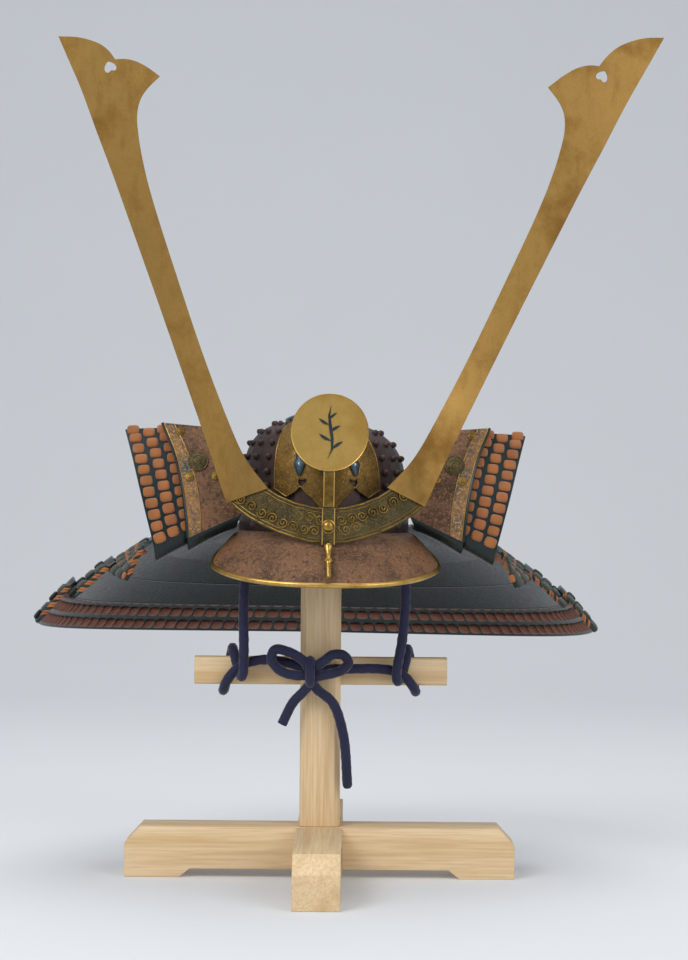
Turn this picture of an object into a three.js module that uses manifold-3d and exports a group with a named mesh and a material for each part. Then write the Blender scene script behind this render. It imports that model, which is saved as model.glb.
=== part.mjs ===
// A samurai helmet (kabuto) on its plain wooden display stand.
//
// Millimetres, +Z up. The helmet looks along -Y, and +X is on the viewer's right.
// The stand and the chin cord are built about the post's axis, with the floor at z = 0. The helmet is
// built in a frame of its own, at the centre of the base band's lower edge, and turned a little on its
// post. At the end everything is moved so that the origin is the middle of the whole object's footprint.
import * as THREE from 'three';
import { mergeGeometries, mergeVertices } from 'three/addons/utils/BufferGeometryUtils.js';
import Module from 'manifold-3d';

const wasm = await Module();
wasm.setup();

const GAP = 0.4; // between pieces that touch on the real object

// ---- driving dimensions -----------------------------------------------------------------------------

const BEAM = { halfLength: 217, width: 50, height: 56.4, footLength: 61, footRun: 12, recess: 9.7 };
const BEAM_END = { height: 37.7, run: 17.4 }; // each beam's upper corners are cut off
const POST = { side: 45, chamfer: 6, top: 499 };
const BAR = { halfLength: 141.7, low: 213.5, high: 244.4, depth: 16, chamfer: 2 };

const HELMET = { x: 2, z: 380, yaw: 3, roll: 0.5 }; // its seat on the post, and how it is turned, in degrees

const BOWL = { halfWidth: 91, halfDepth: 104, base: 20, height: 110, wall: 2.6, crownHole: 0.176, lean: -8 };
const DOME = { rise: 4.2, round: 2.5 }; // the powers of the bowl's outline
const PLATES = { count: 24, lip: 1.4, lipAngle: 1.6 }; // each plate's edge stands proud of the next one
const RIVETS = { first: 3, heights: [40, 56, 71, 87, 102, 114.5, 123.5], radius: 4.7, tall: 6, sides: 5 };
const BAND = { halfWidth: 92.8, halfDepth: 105.8, wall: 2.2, low: -4, high: 24 };
const BAND_STUD = { angle: 56, z: 13, radius: 4.6, tall: 3.4 };
const CROWN = [[15.5, 130.4], [36.5, 128.9], [35.8, 131], [30, 133.8], [22, 136.2], [15.5, 136.6]]; // radius and z

const FRONT_PLATE = { reach: 37.5, top: 124, lift: 2.7, wall: 1.4 };
const HEART = { x: 27.5, z: 59.5, size: 9 };
const LEAF = { lift: 5.2, wall: 1.2, sideAngle: 18.6 };

const VISOR = { halfWidth: 125, front: 103, centre: -55, wall: 2, low: -47, sideRise: 24, bulge: 6 };
const VISOR_SEAT = { halfWidth: 96, halfDepth: 109, reach: 0.78, z: 4 };
const VISOR_RIM = { radius: 2.8, sides: 7, steps: 32, clear: 1.5 };

const CREST = { front: -128, bend: 0.0035, straight: 95, flatten: 40 }; // how the crest's sheets curve back
const CREST_BASE = { wall: 2.2 };
const STRAP = { width: 14, low: -7, high: 33, wall: 1.4 };
const CREST_RIVET = { z: 13, radius: 6.6, tall: 5 };
const PRONG = { top: [-138, -7], end: [-164, -40], radius: 5.6 };
const STEM = { width: 12, low: 33.6, high: 96, wall: 1.8 };
const DISC = { radius: 41.5, z: 113, wall: 2, rim: 1, rimHeight: 0.8 };
const SPRIG = { wall: 1.4, height: 56 };
const HORN = { wall: 1.6, seatGap: 3.8, seatX: 98, seatZ: 68, headBase: 434 };
const HORN_LEFT = { tilt: 20.4, neck: 1, head: 1 }; // neck and head stretch it below and above headBase
const HORN_RIGHT = { tilt: 26.1, neck: 1.025, head: 1.4 };

const LAME_WALL = 3;
const LAME_FRONT = 120; // the front half's depth of the lower lames' outline
const LAME_DIP = 28; // how far their front ends bend down
const LAME_SAG = 0.6; // the power with which they fall from the sides to the back
const LAME_TIP = 0.008; // the lower lames hang low on the right, by this share
const FACING = { gap: 0.7, wall: 1.4 };
const BOSS = { radius: 11.3, tall: 3.2 };
const ROSETTE = { radius: 4.6, tall: 2 };

const CORD = { radius: 5.5, sides: 8 };

// ---- tables -----------------------------------------------------------------------------------------

// The neck guard's lower lames, from the top down: half widths at the sides, depths at the back, and the
// heights of both edges. Each lame lies outside the one above it, and hang is how far it has moved to the
// left. reach is the angle of its front end, and flare moves that end's upper edge clear of the turnback.
const LOWER_LAMES = [
  { name: 'lame_3', hang: -2.5, reach: 116, flare: 177, topSide: 180, topBack: 165, topSideZ: -0.6, topBackZ: -23,
    lowSide: 236, lowBack: 213, lowSideZ: -38, lowBackZ: -66 },
  { name: 'lame_4', hang: -4, reach: 101, flare: 0, topSide: 230.5, topBack: 207, topSideZ: -27.2, topBackZ: -54.2,
    lowSide: 277, lowBack: 249, lowSideZ: -68, lowBackZ: -92 },
  { name: 'lame_5', hang: -5.5, reach: 97, flare: 0, topSide: 271.5, topBack: 242, topSideZ: -51, topBackZ: -77.5,
    lowSide: 312, lowBack: 300, lowSideZ: -97, lowBackZ: -127 },
];

// The two upper lames run round the back like the others. Their front ends are turned up: upper is the
// edge next to the bowl and outer is the other one, from the side of the head to the turnback's top.
const UPPER_LAMES = [
  { name: 'lame_1', topSide: 97.5, topBack: 110.5, topSideZ: 12, topBackZ: 8,
    lowSide: 142, lowBack: 140, lowSideZ: -5, lowBackZ: -15,
    front: [
      { upper: [98, -22, 11], outer: [144, -22, -9] },
      { upper: [98, -42, 9], outer: [147, -42, -15] },
      { upper: [97.5, -54, 9.5], outer: [148.5, -56, -18] },
      { upper: [96.5, -62, 14], outer: [149.5, -66, -14] },
      { upper: [92, -65, 24], outer: [150.5, -70, -3] },
      { upper: [88, -64, 44], outer: [153, -69, 22] },
      { upper: [94, -58, 72], outer: [158, -64, 54] },
      { upper: [108, -48, 96], outer: [167, -54, 88] },
      { upper: [127, -38, 118], outer: [181, -40, 122] },
    ] },
  { name: 'lame_2', topSide: 136, topBack: 134, topSideZ: 2.5, topBackZ: -5,
    lowSide: 186, lowBack: 172, lowSideZ: -14, lowBackZ: -38,
    front: [
      { upper: [137, -18, 0], outer: [185, -20, -20] },
      { upper: [138, -36, -4], outer: [184, -40, -26] },
      { upper: [139, -47, -6], outer: [184, -53, -29.5] },
      { upper: [140, -56, -2], outer: [185, -61, -25] },
      { upper: [141, -60.5, 8], outer: [187, -65, -14] },
      { upper: [144, -60, 28], outer: [195, -63, 16] },
      { upper: [150, -54.5, 57], outer: [204, -57, 50] },
      { upper: [158, -45, 88], outer: [213, -46, 84] },
      { upper: [170, -33, 117], outer: [222, -33, 115] },
    ] },
];

// The crest base, a crescent: the heights of both edges at a distance from the middle.
const CRESCENT = [
  { x: 0, low: -6, high: 32 },
  { x: 18, low: -4.5, high: 34 },
  { x: 36, low: 0, high: 38.5 },
  { x: 54, low: 6, high: 46 },
  { x: 70, low: 13, high: 56 },
  { x: 84, low: 20.5, high: 67 },
  { x: 96, low: 29, high: 76 },
  { x: 104, low: 37, high: 62 },
];

// The front plate's cusped lower edge, from the middle to its side.
const CUSPS = [
  { x: 0, z: 28 }, { x: 8, z: 31 }, { x: 15, z: 42 }, { x: 22, z: 48 }, { x: 27.5, z: 55 },
  { x: 33, z: 49 }, { x: 41, z: 43.5 }, { x: 49, z: 49 }, { x: 56, z: 54 },
];

// A leaf-ended strip on the front plate: its half width at each height above the tip.
const LEAF_OUTLINE = [
  { up: 0, half: 0.5 }, { up: 4, half: 3.4 }, { up: 8, half: 5.4 }, { up: 12, half: 7.6 },
  { up: 16, half: 4.2 }, { up: 26, half: 3.4 }, { up: 37, half: 3 }, { up: 48, half: 2.6 },
  { up: 56, half: 2.4 },
];

// A horn, standing upright on its seat: the edge towards the bowl and the far edge.
const HORN_EDGES = [
  { up: -26, inner: -26, outer: 21 },
  { up: -12, inner: -21, outer: 21 },
  { up: 4, inner: -16, outer: 20.5 },
  { up: 22, inner: -12.5, outer: 20 },
  { up: 60, inner: -10, outer: 19.5 },
  { up: 130, inner: -8.5, outer: 19 },
  { up: 220, inner: -10, outer: 18.5 },
  { up: 310, inner: -13, outer: 18.5 },
  { up: 345, inner: -16, outer: 18.5 },
  { up: 377, inner: -21, outer: 19 },
  { up: 403, inner: -28, outer: 19.5 },
];
// The horn's head goes on from there: under the barb, over its top to the notch, and up to the tip.
const HORN_HEAD = [
  { x: -37, up: 417.5 }, { x: -48, up: 426 }, { x: -65, up: 434 }, { x: -55.5, up: 448 },
  { x: -45.5, up: 458.5 }, { x: -35.5, up: 464.5 }, { x: -25.5, up: 467.5 }, { x: -23, up: 476.5 },
  { x: -17, up: 487 }, { x: -7, up: 496 }, { x: 6, up: 504 }, { x: 24, up: 511 }, { x: 22.5, up: 488 },
  { x: 20, up: 450 },
];
const HORN_HEART = { x: -17.5, up: 461.5, size: 13 };

// ---- small helpers ----------------------------------------------------------------------------------

const rad = THREE.MathUtils.degToRad;
const vec = (x, y, z) => new THREE.Vector3(x, y, z);

/** The value of a table's column at x, on the straight line between its rows. */
function along(table, x, column, key = 'x') {
  const last = table.length - 1;
  const i = Math.min(last - 1, Math.max(0, table.findIndex((row) => row[key] > x) - 1));
  const at = table[last][key] <= x ? last - 1 : i;
  const share = (x - table[at][key]) / (table[at + 1][key] - table[at][key]);
  return THREE.MathUtils.lerp(table[at][column], table[at + 1][column], Math.min(1, Math.max(0, share)));
}

/** The same geometry with shared corners and nothing but positions, its faces turned outwards. */
function tidy(geometry) {
  const bare = new THREE.BufferGeometry();
  bare.setAttribute('position', geometry.getAttribute('position').clone());
  if (geometry.index) bare.setIndex(geometry.index.clone());
  const merged = mergeVertices(bare, 1e-4);
  const position = merged.getAttribute('position');
  const index = merged.index.array;
  const [a, b, c] = [vec(0, 0, 0), vec(0, 0, 0), vec(0, 0, 0)];
  let volume = 0;
  for (let i = 0; i < index.length; i += 3) {
    a.fromBufferAttribute(position, index[i]);
    b.fromBufferAttribute(position, index[i + 1]);
    c.fromBufferAttribute(position, index[i + 2]);
    volume += a.dot(b.cross(c));
  }
  if (volume < 0) {
    for (let i = 0; i < index.length; i += 3) [index[i], index[i + 1]] = [index[i + 1], index[i]];
  }
  return merged;
}

function toSolid(geometry) {
  const clean = tidy(geometry);
  return new wasm.Manifold(new wasm.Mesh({
    numProp: 3,
    vertProperties: new Float32Array(clean.getAttribute('position').array),
    triVerts: new Uint32Array(clean.index.array),
  }));
}

function fromSolid(solid) {
  const mesh = solid.getMesh();
  const geometry = new THREE.BufferGeometry();
  geometry.setAttribute('position', new THREE.BufferAttribute(new Float32Array(mesh.vertProperties), 3));
  geometry.setIndex(new THREE.BufferAttribute(new Uint32Array(mesh.triVerts), 1));
  return geometry;
}

const cut = (geometry, ...tools) =>
  fromSolid(tools.reduce((rest, tool) => rest.subtract(toSolid(tool)), toSolid(geometry)));
const join = (geometry, ...others) =>
  fromSolid(others.reduce((whole, other) => whole.add(toSolid(other)), toSolid(geometry)));
const box = (sx, sy, sz, x, y, z) => new THREE.BoxGeometry(sx, sy, sz).translate(x, y, z);
const mirrored = (geometry) => tidy(geometry.clone().scale(-1, 1, 1));

/** A closed plate. rows is a grid of points on one face; the other face is thickness away from it. */
function slab(rows, thickness) {
  const [m, n] = [rows.length, rows[0].length];
  const at = (i, j) => rows[Math.min(Math.max(i, 0), m - 1)][Math.min(Math.max(j, 0), n - 1)];
  const position = [];
  for (const side of [0, 1]) {
    for (let i = 0; i < m; i++) {
      for (let j = 0; j < n; j++) {
        const run = at(i + 1, j).clone().sub(at(i - 1, j));
        const normal = run.cross(at(i, j + 1).clone().sub(at(i, j - 1))).normalize();
        position.push(...at(i, j).clone().addScaledVector(normal, side * thickness));
      }
    }
  }
  const index = [];
  const quad = (a, b, c, d) => index.push(a, b, c, a, c, d);
  const id = (side, i, j) => (side * m + i) * n + j;
  for (let i = 0; i < m - 1; i++) {
    for (let j = 0; j < n - 1; j++) {
      quad(id(1, i, j), id(1, i + 1, j), id(1, i + 1, j + 1), id(1, i, j + 1));
      quad(id(0, i, j), id(0, i, j + 1), id(0, i + 1, j + 1), id(0, i + 1, j));
    }
    quad(id(0, i, 0), id(0, i + 1, 0), id(1, i + 1, 0), id(1, i, 0));
    quad(id(0, i, n - 1), id(1, i, n - 1), id(1, i + 1, n - 1), id(0, i + 1, n - 1));
  }
  for (let j = 0; j < n - 1; j++) {
    quad(id(0, 0, j), id(1, 0, j), id(1, 0, j + 1), id(0, 0, j + 1));
    quad(id(0, m - 1, j), id(0, m - 1, j + 1), id(1, m - 1, j + 1), id(1, m - 1, j));
  }
  const geometry = new THREE.BufferGeometry();
  geometry.setAttribute('position', new THREE.Float32BufferAttribute(position, 3));
  geometry.setIndex(index);
  return tidy(geometry);
}

/** A flat outline in x and z, made into a plate whose front face is at y and that is thick towards +Y. */
function plate(shape, thickness, y) {
  const geometry = new THREE.ExtrudeGeometry(shape, { depth: thickness, bevelEnabled: false, curveSegments: 5 });
  return tidy(geometry.rotateX(Math.PI / 2).translate(0, y + thickness, 0));
}

/** A round piece turned about its axis from the origin towards a direction. profile holds [radius, height]. */
function turned(profile, sides, place, direction) {
  const geometry = new THREE.LatheGeometry(profile.map(([r, h]) => new THREE.Vector2(r, h)), sides);
  const turn = new THREE.Quaternion().setFromUnitVectors(vec(0, 1, 0), direction.clone().normalize());
  return tidy(geometry.applyQuaternion(turn).translate(place.x, place.y, place.z));
}

/** A round tube through the points. */
function tube(points, radius, sides, steps) {
  const ring = new THREE.Shape();
  for (let i = 0; i < sides; i++) {
    const turn = (2 * Math.PI * i) / sides;
    ring[i ? 'lineTo' : 'moveTo'](radius * Math.cos(turn), radius * Math.sin(turn));
  }
  const extrudePath = new THREE.CatmullRomCurve3(points.map((p) => vec(...p)));
  return tidy(new THREE.ExtrudeGeometry(ring, { steps, bevelEnabled: false, extrudePath }));
}

/** An old heart, the boar's eye: two round lobes over a point. */
function heart(x, z, size, down = 1) {
  const shape = new THREE.Shape();
  const half = size / 2;
  shape.moveTo(x, z - half * down);
  shape.quadraticCurveTo(x + half, z - 0.2 * half * down, x + half, z + 0.35 * half * down);
  shape.quadraticCurveTo(x + 0.7 * half, z + half * down, x, z + 0.5 * half * down);
  shape.quadraticCurveTo(x - 0.7 * half, z + half * down, x - half, z + 0.35 * half * down);
  shape.quadraticCurveTo(x - half, z - 0.2 * half * down, x, z - half * down);
  return shape;
}

// ---- the object -------------------------------------------------------------------------------------

const object = new THREE.Group();
const stand = new THREE.Group();
const helmet = new THREE.Group();
helmet.position.set(HELMET.x, 0, HELMET.z);
helmet.rotation.set(0, rad(HELMET.roll), rad(HELMET.yaw), 'ZYX');
object.add(stand, helmet);

const FINISH = {
  wood: { color: 0xdec096, roughness: 0.6, metalness: 0 },
  brass: { color: 0x9d7a40, roughness: 0.42, metalness: 0.9 },
  gilt: { color: 0xc39b4b, roughness: 0.35, metalness: 0.9 },
  bronze: { color: 0x5a5032, roughness: 0.5, metalness: 0.7 },
  iron: { color: 0x3c2d2a, roughness: 0.6, metalness: 0.5 },
  steel: { color: 0x2b3d47, roughness: 0.4, metalness: 0.7 },
  leather: { color: 0x785a41, roughness: 0.7, metalness: 0 },
  lacquer: { color: 0x142224, roughness: 0.3, metalness: 0 },
  cord: { color: 0x16183c, roughness: 0.9, metalness: 0 },
};

function add(group, name, geometry, finish) {
  const mesh = new THREE.Mesh(geometry, new THREE.MeshStandardMaterial(FINISH[finish]));
  mesh.name = name;
  group.add(mesh);
  return mesh;
}

// ---- the stand --------------------------------------------------------------------------------------

/** One beam of the base, along X: two feet at its ends, and its upper corners cut off. */
function beam() {
  const { halfLength, width, height, footLength, footRun, recess } = BEAM;
  const shape = new THREE.Shape();
  shape.moveTo(-halfLength, 0);
  shape.lineTo(-halfLength + footLength, 0);
  shape.lineTo(-halfLength + footLength + footRun, recess);
  shape.lineTo(halfLength - footLength - footRun, recess);
  shape.lineTo(halfLength - footLength, 0);
  shape.lineTo(halfLength, 0);
  shape.lineTo(halfLength, BEAM_END.height);
  shape.lineTo(halfLength - BEAM_END.run, height);
  shape.lineTo(-halfLength + BEAM_END.run, height);
  shape.lineTo(-halfLength, BEAM_END.height);
  return plate(shape, width, -width / 2);
}

/** The beams cross in a halved joint: the side beam has its notch below, the front beam above. */
function addBase() {
  const lap = (BEAM.recess + BEAM.height) / 2;
  const notch = BEAM.width + 2 * GAP;
  const below = box(notch, notch, lap, 0, 0, lap / 2 + GAP / 2);
  const above = box(notch, notch, BEAM.height, 0, 0, lap - GAP / 2 + BEAM.height / 2);
  add(stand, 'base_beam_side', cut(beam(), below), 'wood');
  add(stand, 'base_beam_front', cut(beam().rotateZ(Math.PI / 2), above.rotateZ(Math.PI / 2)), 'wood');
}

/** A square outline with its corners cut off. */
function chamferedSquare(width, depth, chamfer) {
  const [x, y] = [width / 2, depth / 2];
  const shape = new THREE.Shape();
  shape.moveTo(-x + chamfer, -y);
  for (const [u, v] of [[x - chamfer, -y], [x, -y + chamfer], [x, y - chamfer], [x - chamfer, y],
    [-x + chamfer, y], [-x, y - chamfer], [-x, -y + chamfer]]) shape.lineTo(u, v);
  return shape;
}

function addPost() {
  const low = BEAM.height + GAP;
  const outline = chamferedSquare(POST.side, POST.side, POST.chamfer);
  const post = new THREE.ExtrudeGeometry(outline, { depth: POST.top - low, bevelEnabled: false });
  const tall = BAR.high - BAR.low;
  const slot = box(2 * POST.side, BAR.depth + 2 * GAP, tall + 2 * GAP, 0, 0, (BAR.low + BAR.high) / 2);
  add(stand, 'post', cut(post.translate(0, 0, low), slot), 'wood');

  const section = chamferedSquare(BAR.depth, tall, BAR.chamfer);
  const bar = new THREE.ExtrudeGeometry(section, { depth: 2 * BAR.halfLength, bevelEnabled: false });
  bar.rotateX(Math.PI / 2).rotateZ(Math.PI / 2).translate(-BAR.halfLength, 0, (BAR.low + BAR.high) / 2);
  add(stand, 'cross_bar', tidy(bar), 'wood');
}

// ---- the bowl ---------------------------------------------------------------------------------------

/** The bowl's radius at a height above its base, as a share of its half width. */
function domeShare(up, height = BOWL.height) {
  return (1 - (up / height) ** DOME.rise) ** (1 / DOME.round);
}

/** How far the bowl leans to its side at a height: its crown is not quite above its middle. */
const leanAt = (z) => BOWL.lean * Math.max(0, (z - BOWL.base) / BOWL.height) ** 3;

/** A point on the bowl: angle from the front in degrees, height in the helmet's frame, and how far out. */
function onBowl(angle, z, out = 0) {
  const share = domeShare(Math.min(z - BOWL.base, BOWL.height - 0.01));
  const slope = Math.min(1, Math.max(0, (z - BOWL.base) / BOWL.height) ** 3);
  const [x, y] = [Math.sin(rad(angle)), -Math.cos(rad(angle))];
  const side = out * Math.sqrt(1 - slope * slope);
  const far = x * (BOWL.halfWidth * share + side) + leanAt(z);
  return vec(far, y * (BOWL.halfDepth * share + side), z + out * slope);
}

/** A wall turned about Z with an oval plan. profile is a closed list of {share, out, z, lip}. */
function oval(profile, columns, halfWidth, halfDepth) {
  const position = [];
  for (const { angle, lip } of columns) {
    for (const p of profile) {
      const out = p.out + (p.lip ? lip : 0);
      const [x, y] = [Math.sin(rad(angle)), -Math.cos(rad(angle))];
      position.push(x * (halfWidth * p.share + out) + leanAt(p.z), y * (halfDepth * p.share + out), p.z);
    }
  }
  const index = [];
  const n = profile.length;
  for (let i = 0; i < columns.length; i++) {
    const next = (i + 1) % columns.length;
    for (let j = 0; j < n; j++) {
      const up = (j + 1) % n;
      index.push(i * n + j, next * n + j, next * n + up, i * n + j, next * n + up, i * n + up);
    }
  }
  const geometry = new THREE.BufferGeometry();
  geometry.setAttribute('position', new THREE.Float32BufferAttribute(position, 3));
  geometry.setIndex(index);
  return tidy(geometry);
}

/** The plates' columns: a lip at each plate's edge, and its foot just beside it. */
function plateColumns() {
  const columns = [];
  const wide = 360 / PLATES.count;
  for (let k = 0; k < PLATES.count; k++) {
    const edge = (k + 0.5) * wide;
    const towardsBack = edge < 180 ? 1 : -1;
    const foot = { angle: edge + towardsBack * PLATES.lipAngle, lip: 0 };
    const top = { angle: edge, lip: PLATES.lip };
    columns.push(...(towardsBack > 0 ? [top, foot] : [foot, top]));
  }
  return columns;
}

/** Every rivet of the bowl, each one a blunt pyramid that stands on its plate. */
function rivets() {
  const all = [];
  const wide = 360 / PLATES.count;
  for (let k = RIVETS.first; k <= PLATES.count - RIVETS.first; k++) {
    RIVETS.heights.forEach((z, row) => {
      const size = 1 - 0.045 * row;
      const place = onBowl(k * wide, z);
      const [side, above] = [onBowl(k * wide + 1, z), onBowl(k * wide, z + 1)];
      const normal = side.sub(place).cross(above.sub(place));
      const [r, h] = [RIVETS.radius * size, RIVETS.tall * size];
      all.push(turned([[0, -1.4], [1.15 * r, -1.4], [0, h]], RIVETS.sides, place, normal));
    });
  }
  return mergeGeometries(all);
}

function addBowl() {
  const { base, height, wall, crownHole } = BOWL;
  const shares = [1, 0.985, 0.95, 0.89, 0.8, 0.67, 0.5, 0.33, crownHole];
  const heightAt = (share, tall) => tall * (1 - share ** DOME.round) ** (1 / DOME.rise);
  const outside = shares.map((share) => ({ share, out: 0, lip: true, z: base + heightAt(share, height) }));
  const inside = shares.filter((_, i) => i % 2 === 0).map((share) => (
    { share, out: -wall * share, lip: false, z: base + heightAt(share, height - wall) }));
  const shell = oval([...outside, ...inside.reverse()], plateColumns(), BOWL.halfWidth, BOWL.halfDepth);
  add(helmet, 'bowl', join(shell, rivets()), 'iron');

  const even = Array.from({ length: 48 }, (_, k) => ({ angle: k * 7.5, lip: 0 }));
  const { wall: thick, low, high } = BAND;
  const profile = [[thick, low], [thick, high], [0, high], [0, low]].map(([out, z]) => ({ share: 1, out, z }));
  const band = oval(profile, even, BAND.halfWidth, BAND.halfDepth);
  const studs = [-1, 1].map((side) => {
    const out = vec(side * Math.sin(rad(BAND_STUD.angle)), -Math.cos(rad(BAND_STUD.angle)), 0);
    const place = vec(out.x * (BAND.halfWidth + 2), out.y * (BAND.halfDepth + 2), BAND_STUD.z);
    const { radius: r, tall: h } = BAND_STUD;
    return turned([[0, -1], [r, -1], [0.85 * r, 0.6 * h], [0, h]], 8, place, out);
  });
  add(helmet, 'base_band', join(band, ...studs), 'iron');

  const ring = CROWN.map(([r, z]) => ({ share: 0, out: r, z }));
  add(helmet, 'crown_ring', oval(ring, even.filter((_, k) => k % 2 === 0), 1, 1), 'steel');
}

/** The gilt plate over the bowl's front, with a cusped lower edge and two heart-shaped holes. */
function addFrontPlate() {
  const { reach, top, lift, wall } = FRONT_PLATE;
  const rows = [];
  for (let k = -10; k <= 10; k++) {
    const angle = (k * reach) / 10;
    const low = along(CUSPS, BOWL.halfWidth * 0.97 * Math.sin(rad(Math.abs(angle))), 'z');
    rows.push([0, 0.15, 0.3, 0.5, 0.7, 0.86, 1].map((s) =>
      onBowl(angle, THREE.MathUtils.lerp(low, top, s), lift)));
  }
  const holes = [-1, 1].map((side) => plate(heart(side * HEART.x, HEART.z, HEART.size), 60, -120));
  add(helmet, 'front_plate', cut(slab(rows, wall), ...holes), 'gilt');

  const leaves = [['front_leaf_left', -LEAF.sideAngle, 67, 1], ['front_leaf_centre', 0, 61, 1.3],
    ['front_leaf_right', LEAF.sideAngle, 67, 1]];
  for (const [name, angle, tip, wide] of leaves) {
    const strip = LEAF_OUTLINE.map(({ up, half }) => {
      const z = tip + up;
      const turn = THREE.MathUtils.radToDeg((half * wide) / onBowl(0, z).length() * 1.1);
      return [-1, 0, 1].map((side) => onBowl(angle + side * turn, z, LEAF.lift));
    });
    add(helmet, name, slab(strip, -LEAF.wall), 'steel');
  }
}

// ---- the visor --------------------------------------------------------------------------------------

/** The visor's rim at a turn of -90 to 90 degrees from the middle. */
function visorRim(turn) {
  const a = rad(turn);
  return vec(VISOR.halfWidth * Math.sin(a), VISOR.centre - VISOR.front * Math.cos(a),
    VISOR.low + VISOR.sideRise * (1 - Math.cos(a)) ** 1.3);
}

function visorSeat(turn) {
  const a = rad(turn * VISOR_SEAT.reach);
  return vec(VISOR_SEAT.halfWidth * Math.sin(a), -VISOR_SEAT.halfDepth * Math.cos(a), VISOR_SEAT.z);
}

/** How much of its full width the visor has at a turn: its corners are rounded off. */
function visorShare(turn) {
  const past = Math.max(0, (Math.abs(turn) - 72) / 18);
  return Math.sqrt(1 - 0.8 * past * past);
}

function addVisor() {
  const rows = [];
  for (let turn = -90; turn <= 90; turn += turn < -67 || turn >= 67 ? 4.5 : 7.5) {
    const [seat, rim, share] = [visorSeat(turn), visorRim(turn), visorShare(turn)];
    rows.push([0, 0.25, 0.5, 0.75, 1].map((s) => {
      const point = seat.clone().lerp(rim, s * share);
      point.z += VISOR.bulge * 4 * s * (1 - s) * Math.cos(rad(turn * 0.6));
      return point;
    }));
  }
  add(helmet, 'visor', slab(rows, -VISOR.wall), 'leather');

  // The rim's tube runs just outside the visor's edge, square to it.
  const edge = rows.map((row, i) => {
    const [before, after] = [rows[Math.max(0, i - 1)][4], rows[Math.min(rows.length - 1, i + 1)][4]];
    const run = after.clone().sub(before).normalize();
    const out = row[4].clone().sub(row[3]);
    out.addScaledVector(run, -out.dot(run)).normalize();
    const point = row[4].clone().addScaledVector(out, VISOR_RIM.radius + VISOR_RIM.clear);
    return [point.x, point.y, point.z + VISOR.wall / 2];
  });
  const { radius, sides, steps } = VISOR_RIM;
  add(helmet, 'visor_rim', tube(edge, radius, sides, steps), 'gilt');
}

// ---- the crest --------------------------------------------------------------------------------------

/** How far back the crest's sheets are at x: they curve round the brow and flatten out past it. */
function crestDepth(x) {
  const far = Math.abs(x);
  const { front, bend, straight, flatten } = CREST;
  if (far < straight) return front + bend * far * far;
  const slope = 2 * bend * straight;
  return front + bend * straight * straight + slope * flatten * (1 - Math.exp((straight - far) / flatten));
}

/** Moves every point of a flat plate back to the crest's curve. */
function curvedBack(geometry) {
  const position = geometry.getAttribute('position');
  for (let i = 0; i < position.count; i++) {
    position.setY(i, position.getY(i) + crestDepth(position.getX(i)));
  }
  return geometry;
}

function addCrestBase() {
  const rows = [];
  const mirror = CRESCENT.slice(1).reverse().map((row) => ({ ...row, x: -row.x }));
  for (const { x, low, high } of [...mirror, ...CRESCENT]) {
    rows.push([0, 0.5, 1].map((s) => vec(x, crestDepth(x), THREE.MathUtils.lerp(low, high, s))));
  }
  add(helmet, 'crest_base', slab(rows, CREST_BASE.wall), 'bronze');

  const face = CREST.front - CREST_BASE.wall - GAP;
  const { width, low, high, wall } = STRAP;
  add(helmet, 'crest_strap', box(width, wall, high - low, 0, face - wall / 2, (low + high) / 2), 'bronze');
  const front = face - wall - 0.3;
  const { radius: r, tall: h } = CREST_RIVET;
  const dome = [[0, 0], [r, 0], [0.92 * r, 0.45 * h], [0.55 * r, 0.88 * h], [0, h]];
  add(helmet, 'crest_rivet', turned(dome, 12, vec(0, front, CREST_RIVET.z), vec(0, -1, 0)), 'gilt');

  const [topY, topZ] = PRONG.top;
  const [endY, endZ] = PRONG.end;
  const length = Math.hypot(endY - topY, endZ - topZ);
  const R = PRONG.radius;
  const profile = [[0, 0], [R, 0], [0.62 * R, 0.42 * length], [0.9 * R, 0.45 * length],
    [0.9 * R, 0.52 * length], [0.58 * R, 0.55 * length], [0.55 * R, 0.95 * length], [0.3 * R, length], [0, length]];
  const way = vec(0, endY - topY, endZ - topZ);
  add(helmet, 'crest_prong', turned(profile, 10, vec(0, topY, topZ), way), 'gilt');
}

/** The mirror-like disc on its stem, with a raised sprig that stands for the real one's sign. */
function addDisc() {
  const stemFace = CREST.front - CREST_BASE.wall - GAP;
  const { width, low, high, wall } = STEM;
  add(helmet, 'crest_stem', box(width, wall, high - low, 0, stemFace - wall / 2, (low + high) / 2), 'gilt');

  const back = stemFace - wall - 0.3;
  const { radius: r, rim, rimHeight, wall: thick } = DISC;
  const profile = [[0, 0], [r, 0], [r, thick + rimHeight], [r - rim, thick + rimHeight], [r - rim, thick], [0, thick]];
  add(helmet, 'crest_disc', turned(profile, 40, vec(0, back, DISC.z), vec(0, -1, 0)), 'gilt');

  const face = back - thick - 0.3 - SPRIG.wall;
  const leaf = (x, z, long, turn) => {
    const shape = new THREE.Shape();
    shape.moveTo(0, 0);
    shape.quadraticCurveTo(long * 0.5, long * 0.32, long, 0);
    shape.quadraticCurveTo(long * 0.45, -long * 0.14, 0, 0);
    return plate(shape, SPRIG.wall, 0).rotateY(-rad(turn)).translate(x, face, z);
  };
  const stalk = new THREE.Shape();
  const half = SPRIG.height / 2;
  stalk.moveTo(-2, -half);
  stalk.bezierCurveTo(9, -half / 2, -9, half / 2, 1, half);
  stalk.bezierCurveTo(-4, half / 2, 13, -half / 2, -2, -half);
  const stem = plate(stalk, SPRIG.wall, face).translate(0, 0, DISC.z);
  const leaves = [[2, -18, 15, 35], [1.5, -9, 15, 150], [-0.5, 0, 14, 32], [-1, 8, 13, 148], [-1, 14, 11, 40]]
    .map(([x, z, long, turn]) => leaf(x, DISC.z + z, long, turn));
  add(helmet, 'crest_sign', join(stem, ...leaves), 'steel');
}

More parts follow.
